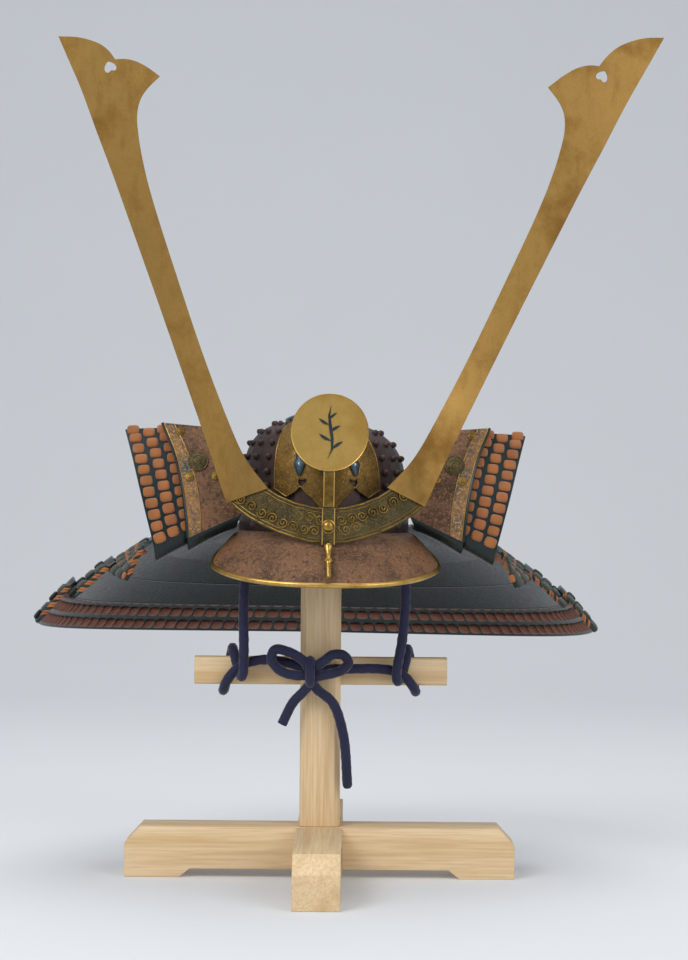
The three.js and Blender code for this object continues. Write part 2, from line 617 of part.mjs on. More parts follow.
/** One horn, as it stands on the right-hand side, in front of the crest base's end. */
function horn({ tilt, neck, head }) {
  const { headBase } = HORN;
  const stretch = (up) => (up < headBase ? up * neck : headBase * neck + (up - headBase) * head);
  const inner = HORN_EDGES.map(({ up, inner: x }) => [x, up]);
  const outer = HORN_EDGES.map(({ up, outer: x }) => [x, up]).reverse();
  const top = HORN_HEAD.map(({ x, up }) => [x, stretch(up)]);
  const turn = rad(tilt);
  const place = ([x, up]) => new THREE.Vector2(
    HORN.seatX + x * Math.cos(turn) + up * Math.sin(turn), HORN.seatZ + up * Math.cos(turn) - x * Math.sin(turn));
  const shape = new THREE.Shape([...inner, ...top, ...outer].map(place));
  const eye = place([HORN_HEART.x, stretch(HORN_HEART.up)]);
  const hole = plate(heart(0, 0, HORN_HEART.size, -1), 20, -10).rotateY(turn).translate(eye.x, 0, eye.y);
  return curvedBack(cut(plate(shape, HORN.wall, -HORN.seatGap - HORN.wall), hole));
}

function addHorns() {
  add(helmet, 'horn_left', mirrored(horn(HORN_LEFT)), 'brass');
  add(helmet, 'horn_right', horn(HORN_RIGHT), 'brass');
}

// ---- the neck guard ---------------------------------------------------------------------------------

/** A lame's edge at an angle from the back: 90 degrees is the side, and past that is the front. */
function lameEdge(side, back, sideZ, backZ, angle) {
  const [s, c] = [Math.sin(rad(angle)), Math.cos(rad(angle))];
  const z = c > 0 ? sideZ + (backZ - sideZ) * c ** LAME_SAG : sideZ + LAME_DIP * c;
  return vec(side * s, (c > 0 ? back : LAME_FRONT) * c, z);
}

/** Three points across a lame, from its upper edge to its outer one, bulging a little. */
function across(upper, outer, bulge = 1.5) {
  const middle = upper.clone().lerp(outer, 0.5);
  middle.z += bulge;
  return [upper, middle, outer];
}

function lameRow(lame, angle) {
  const upper = lameEdge(lame.topSide, lame.topBack, lame.topSideZ, lame.topBackZ, angle);
  if (Math.abs(angle) > 90) upper.x += Math.sign(angle) * lame.flare * Math.cos(rad(angle)) ** 2;
  return across(upper, lameEdge(lame.lowSide, lame.lowBack, lame.lowSideZ, lame.lowBackZ, angle));
}

/** A lower lame's row where the lame hangs: to the left, and low on the right. */
const hung = (row, hang) => row.map((p) => vec(p.x + hang, p.y, p.z - LAME_TIP * Math.max(0, p.x)));

/** A copy of a row on the other side of the helmet. */
const otherSide = (row) => row.map((p) => vec(-p.x, p.y, p.z));

function addLames() {
  for (const lame of UPPER_LAMES) {
    const back = [];
    for (let angle = 15; angle <= 90; angle += 15) back.push(lameRow(lame, angle));
    const front = lame.front.map(({ upper, outer }) => across(vec(...upper), vec(...outer), 0));
    const right = [...back, ...front];
    const rows = [...right.map(otherSide).reverse(), lameRow(lame, 0), ...right];
    add(helmet, lame.name, slab(rows, LAME_WALL), 'lacquer');
  }
  for (const lame of LOWER_LAMES) {
    const rows = [];
    for (let k = -10; k <= 10; k++) rows.push(hung(lameRow(lame, (lame.reach * k) / 10), lame.hang));
    add(helmet, lame.name, slab(rows, LAME_WALL), 'lacquer');
  }
}

/** The leather over the front of a turnback, its round boss and its rosettes. */
function addTurnbacks() {
  const [upperLame] = UPPER_LAMES;
  const panel = upperLame.front.slice(4);
  const grid = panel.map(({ upper, outer }) => across(vec(...upper), vec(...outer), 0));
  const normalAt = (i) => {
    const run = grid[i + 1][1].clone().sub(grid[i][1]);
    return run.cross(grid[i][2].clone().sub(grid[i][0])).normalize().negate();
  };
  const lifted = grid.map((row, i) => row.map((p) =>
    p.clone().addScaledVector(normalAt(Math.min(i, grid.length - 2)), FACING.gap)));
  const facing = slab(lifted, -FACING.wall);
  add(helmet, 'turnback_facing_left', mirrored(facing), 'leather');
  add(helmet, 'turnback_facing_right', facing, 'leather');

  const studs = [
    { name: 'boss', across: 0.62, up: 0.66, ...BOSS, sides: 16, finish: 'bronze' },
    { name: 'rosette_low', across: 0.42, up: 0.5, ...ROSETTE, sides: 8, finish: 'gilt' },
    { name: 'rosette_middle', across: 0.84, up: 0.545, ...ROSETTE, sides: 8, finish: 'gilt' },
    { name: 'rosette_top', across: 0.72, up: 0.93, ...ROSETTE, sides: 8, finish: 'gilt' },
  ];
  for (const stud of studs) {
    const where = stud.up * (panel.length - 1);
    const i = Math.min(panel.length - 2, Math.floor(where));
    const [low, high] = [grid[i], grid[i + 1]].map((row) => row[0].clone().lerp(row[2], stud.across));
    const normal = normalAt(i);
    const place = low.lerp(high, where - i).addScaledVector(normal, FACING.gap + FACING.wall + 1.6);
    const { radius: r, tall: h } = stud;
    const profile = [[0, 0], [r, 0], [0.93 * r, 0.6 * h], [0.5 * r, h], [0, h]];
    const geometry = turned(profile, stud.sides, place, normal);
    add(helmet, `${stud.name}_left`, mirrored(geometry), stud.finish);
    add(helmet, `${stud.name}_right`, geometry, stud.finish);
  }
}

// ---- the chin cord ----------------------------------------------------------------------------------

/** The cord hangs from the helmet's sides, turns once round each end of the bar and is tied in a bow. */
function addChinCord() {
  const { radius, sides } = CORD;
  const cords = [
    ['chin_cord_left', 5, [[-75, -38, 384], [-82, -36, 350], [-85.5, -33, 300], [-85, -32, 262], [-85, -31.5, 232]]],
    ['chin_cord_right', 5, [[79, -38, 384], [85, -37, 366], [92, -35.5, 340], [94, -33.5, 310], [90, -32, 262],
      [85, -31.5, 226]]],
    ['cord_turn_left', 22, [[-22, -31, 236], [-45, -25, 241], [-66, -20, 242], [-85, -19, 238], [-97, -19, 229],
      [-106, -18.5, 217], [-109, -11, 207], [-109, 3, 206.2], [-108, 14.5, 210], [-105, 18, 225],
      [-101, 16.5, 243], [-99, 8, 252.5], [-97, -6, 253]]],
    ['cord_turn_right', 22, [[3, -31, 233], [34, -25, 233], [62, -20, 233], [80, -19, 231], [92, -19, 226],
      [102, -18.5, 215], [106, -11, 207], [106, 3, 206.2], [106, 14.5, 210], [103, 18, 225],
      [99, 16.5, 243], [96, 8, 252.5], [94, -6, 253]]],
    ['bow_loop_left', 9, [[-21, -43, 240], [-36, -42, 253], [-50, -41, 255], [-54, -41, 244], [-44, -42, 232],
      [-21, -43, 227]]],
    ['bow_loop_right', 9, [[2, -43, 240], [14, -42, 250], [26, -41, 249], [31, -41, 241], [24, -42, 233],
      [2, -43, 227]]],
    ['bow_end_left', 3, [[-19, -36, 212], [-30, -35, 196], [-42, -34, 172]]],
    ['bow_end_right', 5, [[-2, -36, 212], [14, -34, 196], [26, -31, 160], [31, -30, 104]]],
  ];
  for (const [name, steps, points] of cords) add(stand, name, tube(points, radius, sides, steps), 'cord');
  const knot = new THREE.SphereGeometry(1, 12, 8).scale(9, 9, 18).translate(-10, -36, 231.5);
  add(stand, 'bow_knot', tidy(knot), 'cord');
}

addBase();
addPost();
addBowl();
addFrontPlate();
addVisor();
addCrestBase();
addDisc();
addHorns();
addLames();
addTurnbacks();
addChinCord();

// The origin is on the floor, under the middle of the whole object.
object.updateMatrixWorld(true);
const bounds = new THREE.Box3().setFromObject(object, true);
const middle = bounds.getCenter(vec(0, 0, 0));
object.position.set(-middle.x, -middle.y, -bounds.min.z);

export default object;
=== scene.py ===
"""A samurai helmet on its wooden display stand: its looks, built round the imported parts."""

import math

import bmesh
import bpy
import numpy as np
from bpy.props import FloatProperty, FloatVectorProperty, IntProperty, PointerProperty
from mathutils import Euler, Matrix, Quaternion, Vector


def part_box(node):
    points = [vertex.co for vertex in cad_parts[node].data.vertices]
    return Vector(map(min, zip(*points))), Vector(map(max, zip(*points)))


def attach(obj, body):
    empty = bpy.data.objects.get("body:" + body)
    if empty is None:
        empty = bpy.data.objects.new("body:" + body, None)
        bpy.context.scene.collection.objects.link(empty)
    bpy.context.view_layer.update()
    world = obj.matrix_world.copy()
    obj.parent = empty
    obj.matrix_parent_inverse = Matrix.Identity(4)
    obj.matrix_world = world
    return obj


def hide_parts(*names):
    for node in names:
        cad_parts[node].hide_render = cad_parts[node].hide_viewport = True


bl_info = {
    "name": "Kabuto on a stand",
    "version": (1, 0, 0),
    "blender": (4, 5, 0),
    "location": "View3D > Sidebar > Kabuto",
    "description": "Builds the looks of a samurai helmet on its wooden stand",
    "category": "Add Mesh",
}

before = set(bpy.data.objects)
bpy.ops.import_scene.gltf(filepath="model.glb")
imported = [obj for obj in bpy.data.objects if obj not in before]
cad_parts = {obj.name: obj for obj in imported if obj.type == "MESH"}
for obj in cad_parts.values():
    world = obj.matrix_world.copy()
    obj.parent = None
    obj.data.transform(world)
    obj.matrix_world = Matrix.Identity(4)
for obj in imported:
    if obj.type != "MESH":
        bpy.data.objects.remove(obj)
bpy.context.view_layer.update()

MM = 0.001
GAP = 0.4

# ---- where things are -------------------------------------------------------------------------------

POST_LOW, POST_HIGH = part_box("post")
AXIS = Vector(((POST_LOW[0] + POST_HIGH[0]) / 2, (POST_LOW[1] + POST_HIGH[1]) / 2, 0))
STAND = Matrix.Translation(AXIS) @ Matrix.Scale(MM, 4)
HELMET = (Matrix.Translation(AXIS + Vector((2, 0, 380)) * MM) @ Matrix.Rotation(math.radians(3), 4, "Z")
          @ Matrix.Rotation(math.radians(0.5), 4, "Y") @ Matrix.Scale(MM, 4))

# ---- the helmet's sizes, in millimetres in its own frame ---------------------------------------------

BOWL = {"half_width": 91, "half_depth": 104, "base": 20, "height": 110, "wall": 2.6, "hole": 0.176, "lean": -8}
DOME = {"rise": 4.2, "round": 2.5}
PLATES = {"count": 24, "lip": 1.4}
RIVET_HEIGHTS = (40, 56, 71, 87, 102, 114.5, 123.5)
RIVET_FIRST = 3
CROWN = ((15.5, 130.4), (36.5, 128.9), (36.2, 130.2), (35.0, 131.3), (30, 133.8), (22, 136.2), (15.5, 136.6))
BAND = {"half_width": 92.8, "half_depth": 105.8, "wall": 2.2, "low": -4, "high": 24}
CUSPS = ((0, 28), (8, 31), (15, 42), (22, 48), (27.5, 55), (33, 49), (41, 43.5), (49, 49), (56, 54))
FRONT_PLATE = {"reach": 37.5, "top": 124, "lift": 2.7, "wall": 1.4}
HEART = {"x": 27.5, "z": 59.5, "size": 9}
LEAVES = (("left", -18.6, 67, 1), ("centre", 0, 61, 1.3), ("right", 18.6, 67, 1))
LEAF_OUTLINE = ((0, 0.5), (4, 3.4), (8, 5.4), (12, 7.6), (16, 4.2), (26, 3.4), (37, 3), (48, 2.6), (56, 2.4))
VISOR = {"half_width": 125, "front": 103, "centre": -55, "wall": 2, "low": -47, "side_rise": 24, "bulge": 6}
VISOR_SEAT = {"half_width": 96, "half_depth": 109, "reach": 0.78, "z": 4}
VISOR_RIM = {"radius": 2.8, "clear": 1.5}
CREST = {"front": -128, "bend": 0.0035, "straight": 95, "flatten": 40}
CREST_WALL = 2.2
CRESCENT = ((0, -6, 32), (18, -4.5, 34), (36, 0, 38.5), (54, 6, 46), (70, 13, 56), (84, 20.5, 67), (96, 29, 76),
            (104, 37, 62))
DISC = {"radius": 41.5, "z": 113, "wall": 2}
HORN = {"seat_x": 98, "seat_z": 68, "seat_gap": 3.8, "wall": 1.6, "head_base": 434}
HORN_LEFT = {"tilt": 20.4, "neck": 1, "head": 1}
HORN_RIGHT = {"tilt": 26.1, "neck": 1.025, "head": 1.4}
HORN_INNER = ((-26, -26), (-21, -12), (-16, 4), (-12.5, 22), (-10, 60), (-8.5, 130), (-10, 220), (-13, 310),
              (-16, 345), (-21, 377), (-28, 403), (-37, 417.5), (-48, 426), (-65, 434))
HORN_TOP = ((-65, 434), (-55.5, 448), (-45.5, 458.5), (-35.5, 464.5), (-25.5, 467.5))
HORN_TIP = ((-25.5, 467.5), (-23, 476.5), (-17, 487), (-7, 496), (6, 504), (24, 511))
HORN_OUTER = ((24, 511), (22.5, 488), (20, 450), (19.5, 403), (19, 377), (18.5, 345), (18.5, 310), (18.5, 220),
              (19, 130), (19.5, 60), (20, 22), (20.5, 4), (21, -12), (21, -26))
HORN_HEART = {"x": -17.5, "up": 461.5, "size": 13}

LAME_WALL = 3
LAME_FRONT = 120
LAME_DIP = 28
LAME_SAG = 0.6
LAME_TIP = 0.008
LOWER_LAMES = (
    {"name": "lame_3", "hang": -2.5, "reach": 116, "flare": 177, "top": (180, 165, -0.6, -23),
     "low": (236, 213, -38, -66)},
    {"name": "lame_4", "hang": -4, "reach": 101, "flare": 0, "top": (230.5, 207, -27.2, -54.2),
     "low": (277, 249, -68, -92)},
    {"name": "lame_5", "hang": -5.5, "reach": 97, "flare": 0, "top": (271.5, 242, -51, -77.5),
     "low": (312, 300, -97, -127)},
)
UPPER_LAMES = (
    {"name": "lame_1", "top": (97.5, 110.5, 12, 8), "low": (142, 140, -5, -15),
     "front": (((98, -22, 11), (144, -22, -9)), ((98, -42, 9), (147, -42, -15)),
               ((97.5, -54, 9.5), (148.5, -56, -18)), ((96.5, -62, 14), (149.5, -66, -14)),
               ((92, -65, 24), (150.5, -70, -3)), ((88, -64, 44), (153, -69, 22)),
               ((94, -58, 72), (158, -64, 54)), ((108, -48, 96), (167, -54, 88)),
               ((127, -38, 118), (181, -40, 122)))},
    {"name": "lame_2", "top": (136, 134, 2.5, -5), "low": (186, 172, -14, -38),
     "front": (((137, -18, 0), (185, -20, -20)), ((138, -36, -4), (184, -40, -26)),
               ((139, -47, -6), (184, -53, -29.5)), ((140, -56, -2), (185, -61, -25)),
               ((141, -60.5, 8), (187, -65, -14)), ((144, -60, 28), (195, -63, 16)),
               ((150, -54.5, 57), (204, -57, 50)), ((158, -45, 88), (213, -46, 84)),
               ((170, -33, 117), (222, -33, 115)))},
)
TURNBACK_ROW = 4  # the row of the upper lames' front where the turned-up panel begins

# The chin cord's two halves, in the stand's frame: down from the helmet, round the bar, to the bow's knot,
# round its loop and out to the free end.
CORD_LEFT = (
    (-75, -38, 384), (-82, -36, 350), (-85.5, -33, 300), (-85, -32, 262), (-85, -31.5, 240), (-85.5, -31, 229),
    (-87.5, -26, 223.5), (-91, -19, 229), (-95, -13, 242), (-98, -6, 251.5), (-99.5, 4, 253.5),
    (-101.5, 14, 246), (-104.5, 18, 231), (-107, 17, 216), (-108.5, 10, 207.5), (-109, -1, 206.2),
    (-108.5, -12, 208), (-105, -18.5, 217), (-97, -20.5, 228), (-85, -20, 237), (-66, -20, 242),
    (-45, -25, 241), (-26, -31, 237), (-16, -37, 234), (-14, -43, 238), (-22, -44, 246), (-36, -42, 253),
    (-50, -41, 255), (-54, -41, 244), (-44, -42, 232), (-28, -43, 227), (-14, -42, 226), (-11, -40, 219),
    (-17, -37.5, 210), (-30, -35, 196), (-42, -34, 172))
CORD_RIGHT = (
    (79, -38, 384), (85, -37, 366), (92, -35.5, 340), (94, -33.5, 310), (90, -32, 262), (86, -31.5, 240),
    (84.5, -31, 226), (86, -26, 219.5), (90, -19, 225), (95, -13, 241), (96.5, -6, 251.5), (97.5, 4, 253.5),
    (99.5, 14, 246), (102.5, 18, 231), (105, 17, 216), (106, 10, 207.5), (106.5, -1, 206.2), (106, -12, 208),
    (102, -18.5, 215), (92, -20, 226), (80, -20, 231), (62, -20, 233), (34, -25, 233), (12, -31, 233),
    (0, -37, 232), (-4, -43, 237), (4, -44, 243), (14, -42, 250), (26, -41, 249), (31, -41, 241),
    (24, -42, 233), (8, -43, 228), (-4, -42, 225), (-8, -40, 219), (-3, -37.5, 211), (14, -34, 196),
    (26, -31, 160), (31, -30, 104))

CAMERA = {"x": 38.56, "y": -2458.25, "z": 436.53, "yaw": -0.3253, "pitch": 0.1503, "roll": 0.402,
          "lens": 82.08, "sensor": 36}


def colour(red, green, blue):
    """A screen colour of 0 to 255 as the linear colour that shaders take."""
    def linear(value):
        value /= 255
        return value / 12.92 if value <= 0.04045 else ((value + 0.055) / 1.055) ** 2.4
    return (linear(red), linear(green), linear(blue), 1.0)


def colour_property(name, description, default):
    return FloatVectorProperty(name=name, description=description, subtype="COLOR", size=4, min=0, max=1,
                               default=colour(*default))


def length_property(name, description, default):
    return FloatProperty(name=name, description=description, default=default, min=0.0001, max=1,
                         unit="LENGTH", subtype="DISTANCE", precision=4)


class KabutoColours(bpy.types.PropertyGroup):
    """The colours of the helmet and its stand."""
    wood: colour_property("Wood", "The stand's pale planed wood", (226, 198, 156))
    brass: colour_property("Horn brass", "The horns' aged brass", (166, 130, 72))
    gilt: colour_property("Gilding", "The disc's and the rims' worn gilding", (198, 162, 90))
    bronze: colour_property("Bronze", "The crest base's dark engraved metal", (82, 74, 52))
    iron: colour_property("Russet iron", "The bowl's plates", (72, 56, 52))
    steel: colour_property("Blue steel", "The leaf ends and the disc's sprig", (60, 78, 88))
    leather: colour_property("Leather", "The smoked leather of the visor and turnbacks", (112, 80, 56))
    lacquer: colour_property("Lacquer", "The neck guard's smooth faces", (15, 30, 30))
    lacing: colour_property("Bright lacing", "The lacing on the turnbacks", (186, 116, 58))
    brown: colour_property("Brown lacing", "The lacing inside the lowest lame", (142, 78, 50))
    green: colour_property("Green lacing", "The lacing on the outside of the lames", (46, 58, 48))
    cord: colour_property("Cord", "The chin cord's silk", (24, 27, 62))
    backdrop: colour_property("Backdrop", "The floor and the wall behind", (206, 208, 211))


class KabutoSizes(bpy.types.PropertyGroup):
    """The sizes of the helmet's small and repeated parts."""
    cord: length_property("Cord diameter", "The chin cord's thickness", 0.011)
    braid: length_property("Braid pitch", "The length of one turn of the cord's strands", 0.024)
    rivet: length_property("Rivet radius", "The bowl's rivets at their foot", 0.0045)
    rivet_height: length_property("Rivet height", "How far the bowl's rivets stand out", 0.0062)
    block_width: length_property("Lacing width", "One knot of lacing, along the lame", 0.0125)
    block_height: length_property("Lacing height", "One knot of lacing, across the lame", 0.0118)
    block_depth: length_property("Lacing depth", "How thick a knot of lacing is", 0.0036)
    edge: length_property("Wood edge", "How far the stand's edges are rounded", 0.0009)
    seed: IntProperty(name="Seed", description="The seed of the small differences between repeats", default=4)


# ---- shapes as arrays of points ----------------------------------------------------------------------

def spline(points, step, closed=False):
    """A smooth line through the points, its own points step apart."""
    p = np.asarray(points, float)
    if closed:
        p = np.vstack([p[-1], p, p[:2]])
    else:
        p = np.vstack([2 * p[0] - p[1], p, 2 * p[-1] - p[-2]])
    out = []
    for a, b, c, d in zip(p[:-3], p[1:-2], p[2:-1], p[3:]):
        knots = np.cumsum([0] + [max(np.linalg.norm(v) ** 0.5, 1e-6) for v in (b - a, c - b, d - c)])
        count = max(2, int(np.ceil(np.linalg.norm(c - b) / step * 2)))
        t = np.linspace(knots[1], knots[2], count, endpoint=False)[:, None]
        k = knots
        ab = ((k[1] - t) * a + (t - k[0]) * b) / (k[1] - k[0])
        bc = ((k[2] - t) * b + (t - k[1]) * c) / (k[2] - k[1])
        cd = ((k[3] - t) * c + (t - k[2]) * d) / (k[3] - k[2])
        abc = ((k[2] - t) * ab + (t - k[0]) * bc) / (k[2] - k[0])
        bcd = ((k[3] - t) * bc + (t - k[1]) * cd) / (k[3] - k[1])
        out.append(((k[2] - t) * abc + (t - k[1]) * bcd) / (k[2] - k[1]))
    out.append(p[-2][None])
    return even(np.vstack(out), step)


def even(line, step):
    """The same line with its points evenly apart, about step from each other."""
    far = np.concatenate([[0], np.cumsum(np.linalg.norm(np.diff(line, axis=0), axis=1))])
    at = np.linspace(0, far[-1], max(2, int(round(far[-1] / step)) + 1))
    return np.stack([np.interp(at, far, line[:, i]) for i in range(line.shape[1])], axis=1)


def long(line):
    return float(np.linalg.norm(np.diff(line, axis=0), axis=1).sum())


def unit(v):
    return v / np.maximum(np.linalg.norm(v, axis=-1, keepdims=True), 1e-12)


def normals(rows):
    """The direction square to a grid of points, at each point."""
    run = np.gradient(rows, axis=0)
    across = np.gradient(rows, axis=1)
    return unit(np.cross(run, across))


def grid(m, n, first=0, wrap=False):
    """The faces of a grid of m by n points, joined round in its second direction if wrap."""
    i, j = np.meshgrid(np.arange(m - 1), np.arange(n if wrap else n - 1), indexing="ij")
    a = i * n + j
    b = i * n + (j + 1) % n
    return (np.stack([a, b, b + n, a + n], axis=-1).reshape(-1, 4) + first).tolist()


def slab(rows, thickness, start=0.0):
    """A closed plate: rows is its grid of points, and both its faces are out from it."""
    m, n, _ = rows.shape
    out = normals(rows)
    points = np.concatenate([(rows + out * start).reshape(-1, 3), (rows + out * (start + thickness)).reshape(-1, 3)])
    back = m * n
    faces = grid(m, n) + [f[::-1] for f in grid(m, n, back)]
    edge = ([i * n for i in range(m)] + [(m - 1) * n + j for j in range(1, n)]
            + [i * n + n - 1 for i in range(m - 2, -1, -1)] + list(range(n - 2, 0, -1)))
    faces += [[a, b, b + back, a + back] for a, b in zip(edge, edge[1:] + edge[:1])]
    return points, faces


def line_frames(line, closed=False):
    """Two directions square to a line at each of its points, with as little twist as can be."""
    ahead = np.gradient(line, axis=0)
    if closed:
        ahead = np.roll(line, -1, axis=0) - np.roll(line, 1, axis=0)
    ahead = unit(ahead)
    side = np.cross(ahead[0], (0, 0, 1) if abs(ahead[0][2]) < 0.8 else (0, 1, 0))
    sides = []
    for way in ahead:
        side = side - way * side.dot(way)
        side = side / np.linalg.norm(side)
        sides.append(side)
    sides = np.array(sides)
    return sides, np.cross(ahead, sides)


def tube(line, radius, sides=10, closed=False, relief=None):
    """A round tube along a line. relief gives its radius at (length, turn), both arrays."""
    u, v = line_frames(line, closed)
    far = np.concatenate([[0], np.cumsum(np.linalg.norm(np.diff(line, axis=0), axis=1))])[:, None]
    turn = np.linspace(0, 2 * np.pi, sides, endpoint=False)[None]
    r = np.full((len(line), sides), radius) if relief is None else relief(far, turn)
    points = (line[:, None] + r[..., None] * (np.cos(turn)[..., None] * u[:, None]
                                              + np.sin(turn)[..., None] * v[:, None])).reshape(-1, 3)
    faces = grid(len(line), sides, wrap=True)
    last = (len(line) - 1) * sides
    if closed:
        faces += [[last + j, last + (j + 1) % sides, (j + 1) % sides, j] for j in range(sides)]
        return points, faces
    points = np.vstack([points, line[0], line[-1]])
    hub = len(points) - 2
    faces += [[hub, (j + 1) % sides, j] for j in range(sides)]
    faces += [[hub + 1, last + j, last + (j + 1) % sides] for j in range(sides)]
    return points, faces


def braided(radius, pitch, strands=6):
    """The relief of a round braid: two sets of strands that pass over and under each other."""
    def relief(far, turn):
        one = strands / 2 * turn + 2 * np.pi * far / pitch
        two = strands / 2 * turn - 2 * np.pi * far / pitch
        over = np.cos(strands / 2 * turn * 2) * 0.5 + 0.5
        high = over * np.abs(np.cos(one)) + (1 - over) * np.abs(np.cos(two))
        return radius * (0.9 + 0.14 * high)
    return relief


def turned(profile, sides=32, place=(0, 0, 0), way=(0, 0, 1), petals=0, depth=0.0):
    """A round piece: profile is (radius, height) from its foot to its top, turned about way from place."""
    profile = np.asarray(profile, float)
    turn = np.linspace(0, 2 * np.pi, sides, endpoint=False)
    wave = 1 + depth * (np.abs(np.cos(petals * turn / 2)) - 0.5) if petals else np.ones(sides)
    points = np.stack([profile[:, :1] * (np.cos(turn) * wave)[None], profile[:, :1] * (np.sin(turn) * wave)[None],
                       np.repeat(profile[:, 1:], sides, axis=1)], axis=-1).reshape(-1, 3)
    faces = grid(len(profile), sides, wrap=True)
    points = np.vstack([points, (0, 0, profile[0, 1]), (0, 0, profile[-1, 1])])
    hub, last = len(points) - 2, (len(profile) - 1) * sides
    faces += [[hub, (j + 1) % sides, j] for j in range(sides)]
    faces += [[hub + 1, last + j, last + (j + 1) % sides] for j in range(sides)]
    turn_to = np.array(Vector(way).to_track_quat("Z", "Y").to_matrix())
    return points @ turn_to.T + np.asarray(place, float), faces


def flat_plate(loops, thickness, edge=0.0):
    """A flat plate with its outline in x and z: the first loop is its edge and the others are holes."""
    curve = bpy.data.curves.new("outline", "CURVE")
    curve.dimensions = "2D"
    curve.fill_mode = "BOTH"
    curve.extrude = thickness / 2 - edge
    curve.bevel_depth = edge
    curve.bevel_resolution = 1
    curve.offset = -edge
    for loop in loops:
        line = curve.splines.new("POLY")
        line.points.add(len(loop) - 1)
        for point, (x, z) in zip(line.points, loop):
            point.co = (x, z, 0, 1)
        line.use_cyclic_u = True
    holder = bpy.data.objects.new("outline", curve)
    bpy.context.scene.collection.objects.link(holder)
    mesh = bpy.data.meshes.new_from_object(holder.evaluated_get(bpy.context.evaluated_depsgraph_get()))
    points = np.array([v.co for v in mesh.vertices])
    faces = [list(p.vertices) for p in mesh.polygons]
    bpy.data.objects.remove(holder)
    bpy.data.curves.remove(curve)
    bpy.data.meshes.remove(mesh)
    return np.stack([points[:, 0], -points[:, 2], points[:, 1]], axis=1), faces


def sliced(points, faces, step):
    """The same solid cut into strips across x, so that it can be bent smoothly."""
    work = bmesh.new()
    verts = [work.verts.new(p) for p in points]
    for face in faces:
        work.faces.new([verts[i] for i in face])
    bmesh.ops.remove_doubles(work, verts=work.verts, dist=1e-4)
    for x in np.arange(points[:, 0].min() + step, points[:, 0].max(), step):
        bmesh.ops.bisect_plane(work, geom=work.verts[:] + work.edges[:] + work.faces[:], dist=1e-4,
                               plane_co=(x, 0, 0), plane_no=(1, 0, 0))
    work.verts.index_update()
    result = np.array([v.co for v in work.verts]), [[v.index for v in f.verts] for f in work.faces]
    work.free()
    return result


def heart(x, z, size, down=1):
    """An old heart, the boar's eye: two round lobes over a point."""
    half = size / 2
    right = [(0, -1), (0.55, -0.62), (0.93, -0.1), (1, 0.35), (0.82, 0.72), (0.45, 0.8), (0.12, 0.62)]
    loop = spline(right, 0.12).tolist()
    loop += [(-a, b) for a, b in loop[::-1]][:-1]
    return [(x + half * a, z + half * down * b) for a, b in loop]


# ---- pieces ------------------------------------------------------------------------------------------

def made(name, mesh, material, replaced=()):
    """Puts a finished mesh in the scene as a piece of the object."""
    piece = bpy.data.objects.new(name, mesh)
    bpy.context.scene.collection.objects.link(piece)
    if material:
        mesh.materials.clear()
        mesh.materials.append(material)
    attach(piece, "root")
    if replaced:
        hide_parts(*replaced)
    return piece


def shaded(mesh, angle):
    """Smooth shading, but for edges sharper than angle."""
    mesh.shade_smooth()
    mesh.set_sharp_from_angle(angle=math.radians(angle))


def piece(name, parts, place, material, slot, replaced=(), angle=40):
    """One piece from parts, each (points, faces) in millimetres in place's frame."""
    points, faces = [], []
    for part_points, part_faces in parts:
        first = sum(len(p) for p in points)
        points.append(np.asarray(part_points))
        faces += [[i + first for i in f] for f in part_faces]
    points = np.vstack(points)
    turn = np.array(place)
    points = points @ turn[:3, :3].T + turn[:3, 3]
    mesh = bpy.data.meshes.new(name)
    mesh.from_pydata(points.tolist(), [], faces)
    work = bmesh.new()
    work.from_mesh(mesh)
    bmesh.ops.remove_doubles(work, verts=work.verts, dist=1e-6)
    bmesh.ops.recalc_face_normals(work, faces=work.faces)
    work.to_mesh(mesh)
    work.free()
    shaded(mesh, angle)
    return made(name, mesh, material, replaced)


def dressed(name, node, material, edge=0.0, angle=40):
    """A copy of a CAD node with its edges rounded by edge, in metres."""
    work = bmesh.new()
    work.from_mesh(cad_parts[node].data)
    bmesh.ops.remove_doubles(work, verts=work.verts, dist=1e-6)
    bmesh.ops.dissolve_limit(work, angle_limit=math.radians(0.5), verts=work.verts, edges=work.edges)
    if edge:
        sharp = [e for e in work.edges if e.calc_face_angle(0) > math.radians(25)]
        bmesh.ops.bevel(work, geom=sharp, offset=edge, segments=2, profile=0.6, affect="EDGES", clamp_overlap=True)
    mesh = bpy.data.meshes.new(name)
    work.to_mesh(mesh)
    work.free()
    shaded(mesh, angle)
    return made(name, mesh, material, [node])


# ---- repeats: one shape on many spots, made by Geometry Nodes ----------------------------------------

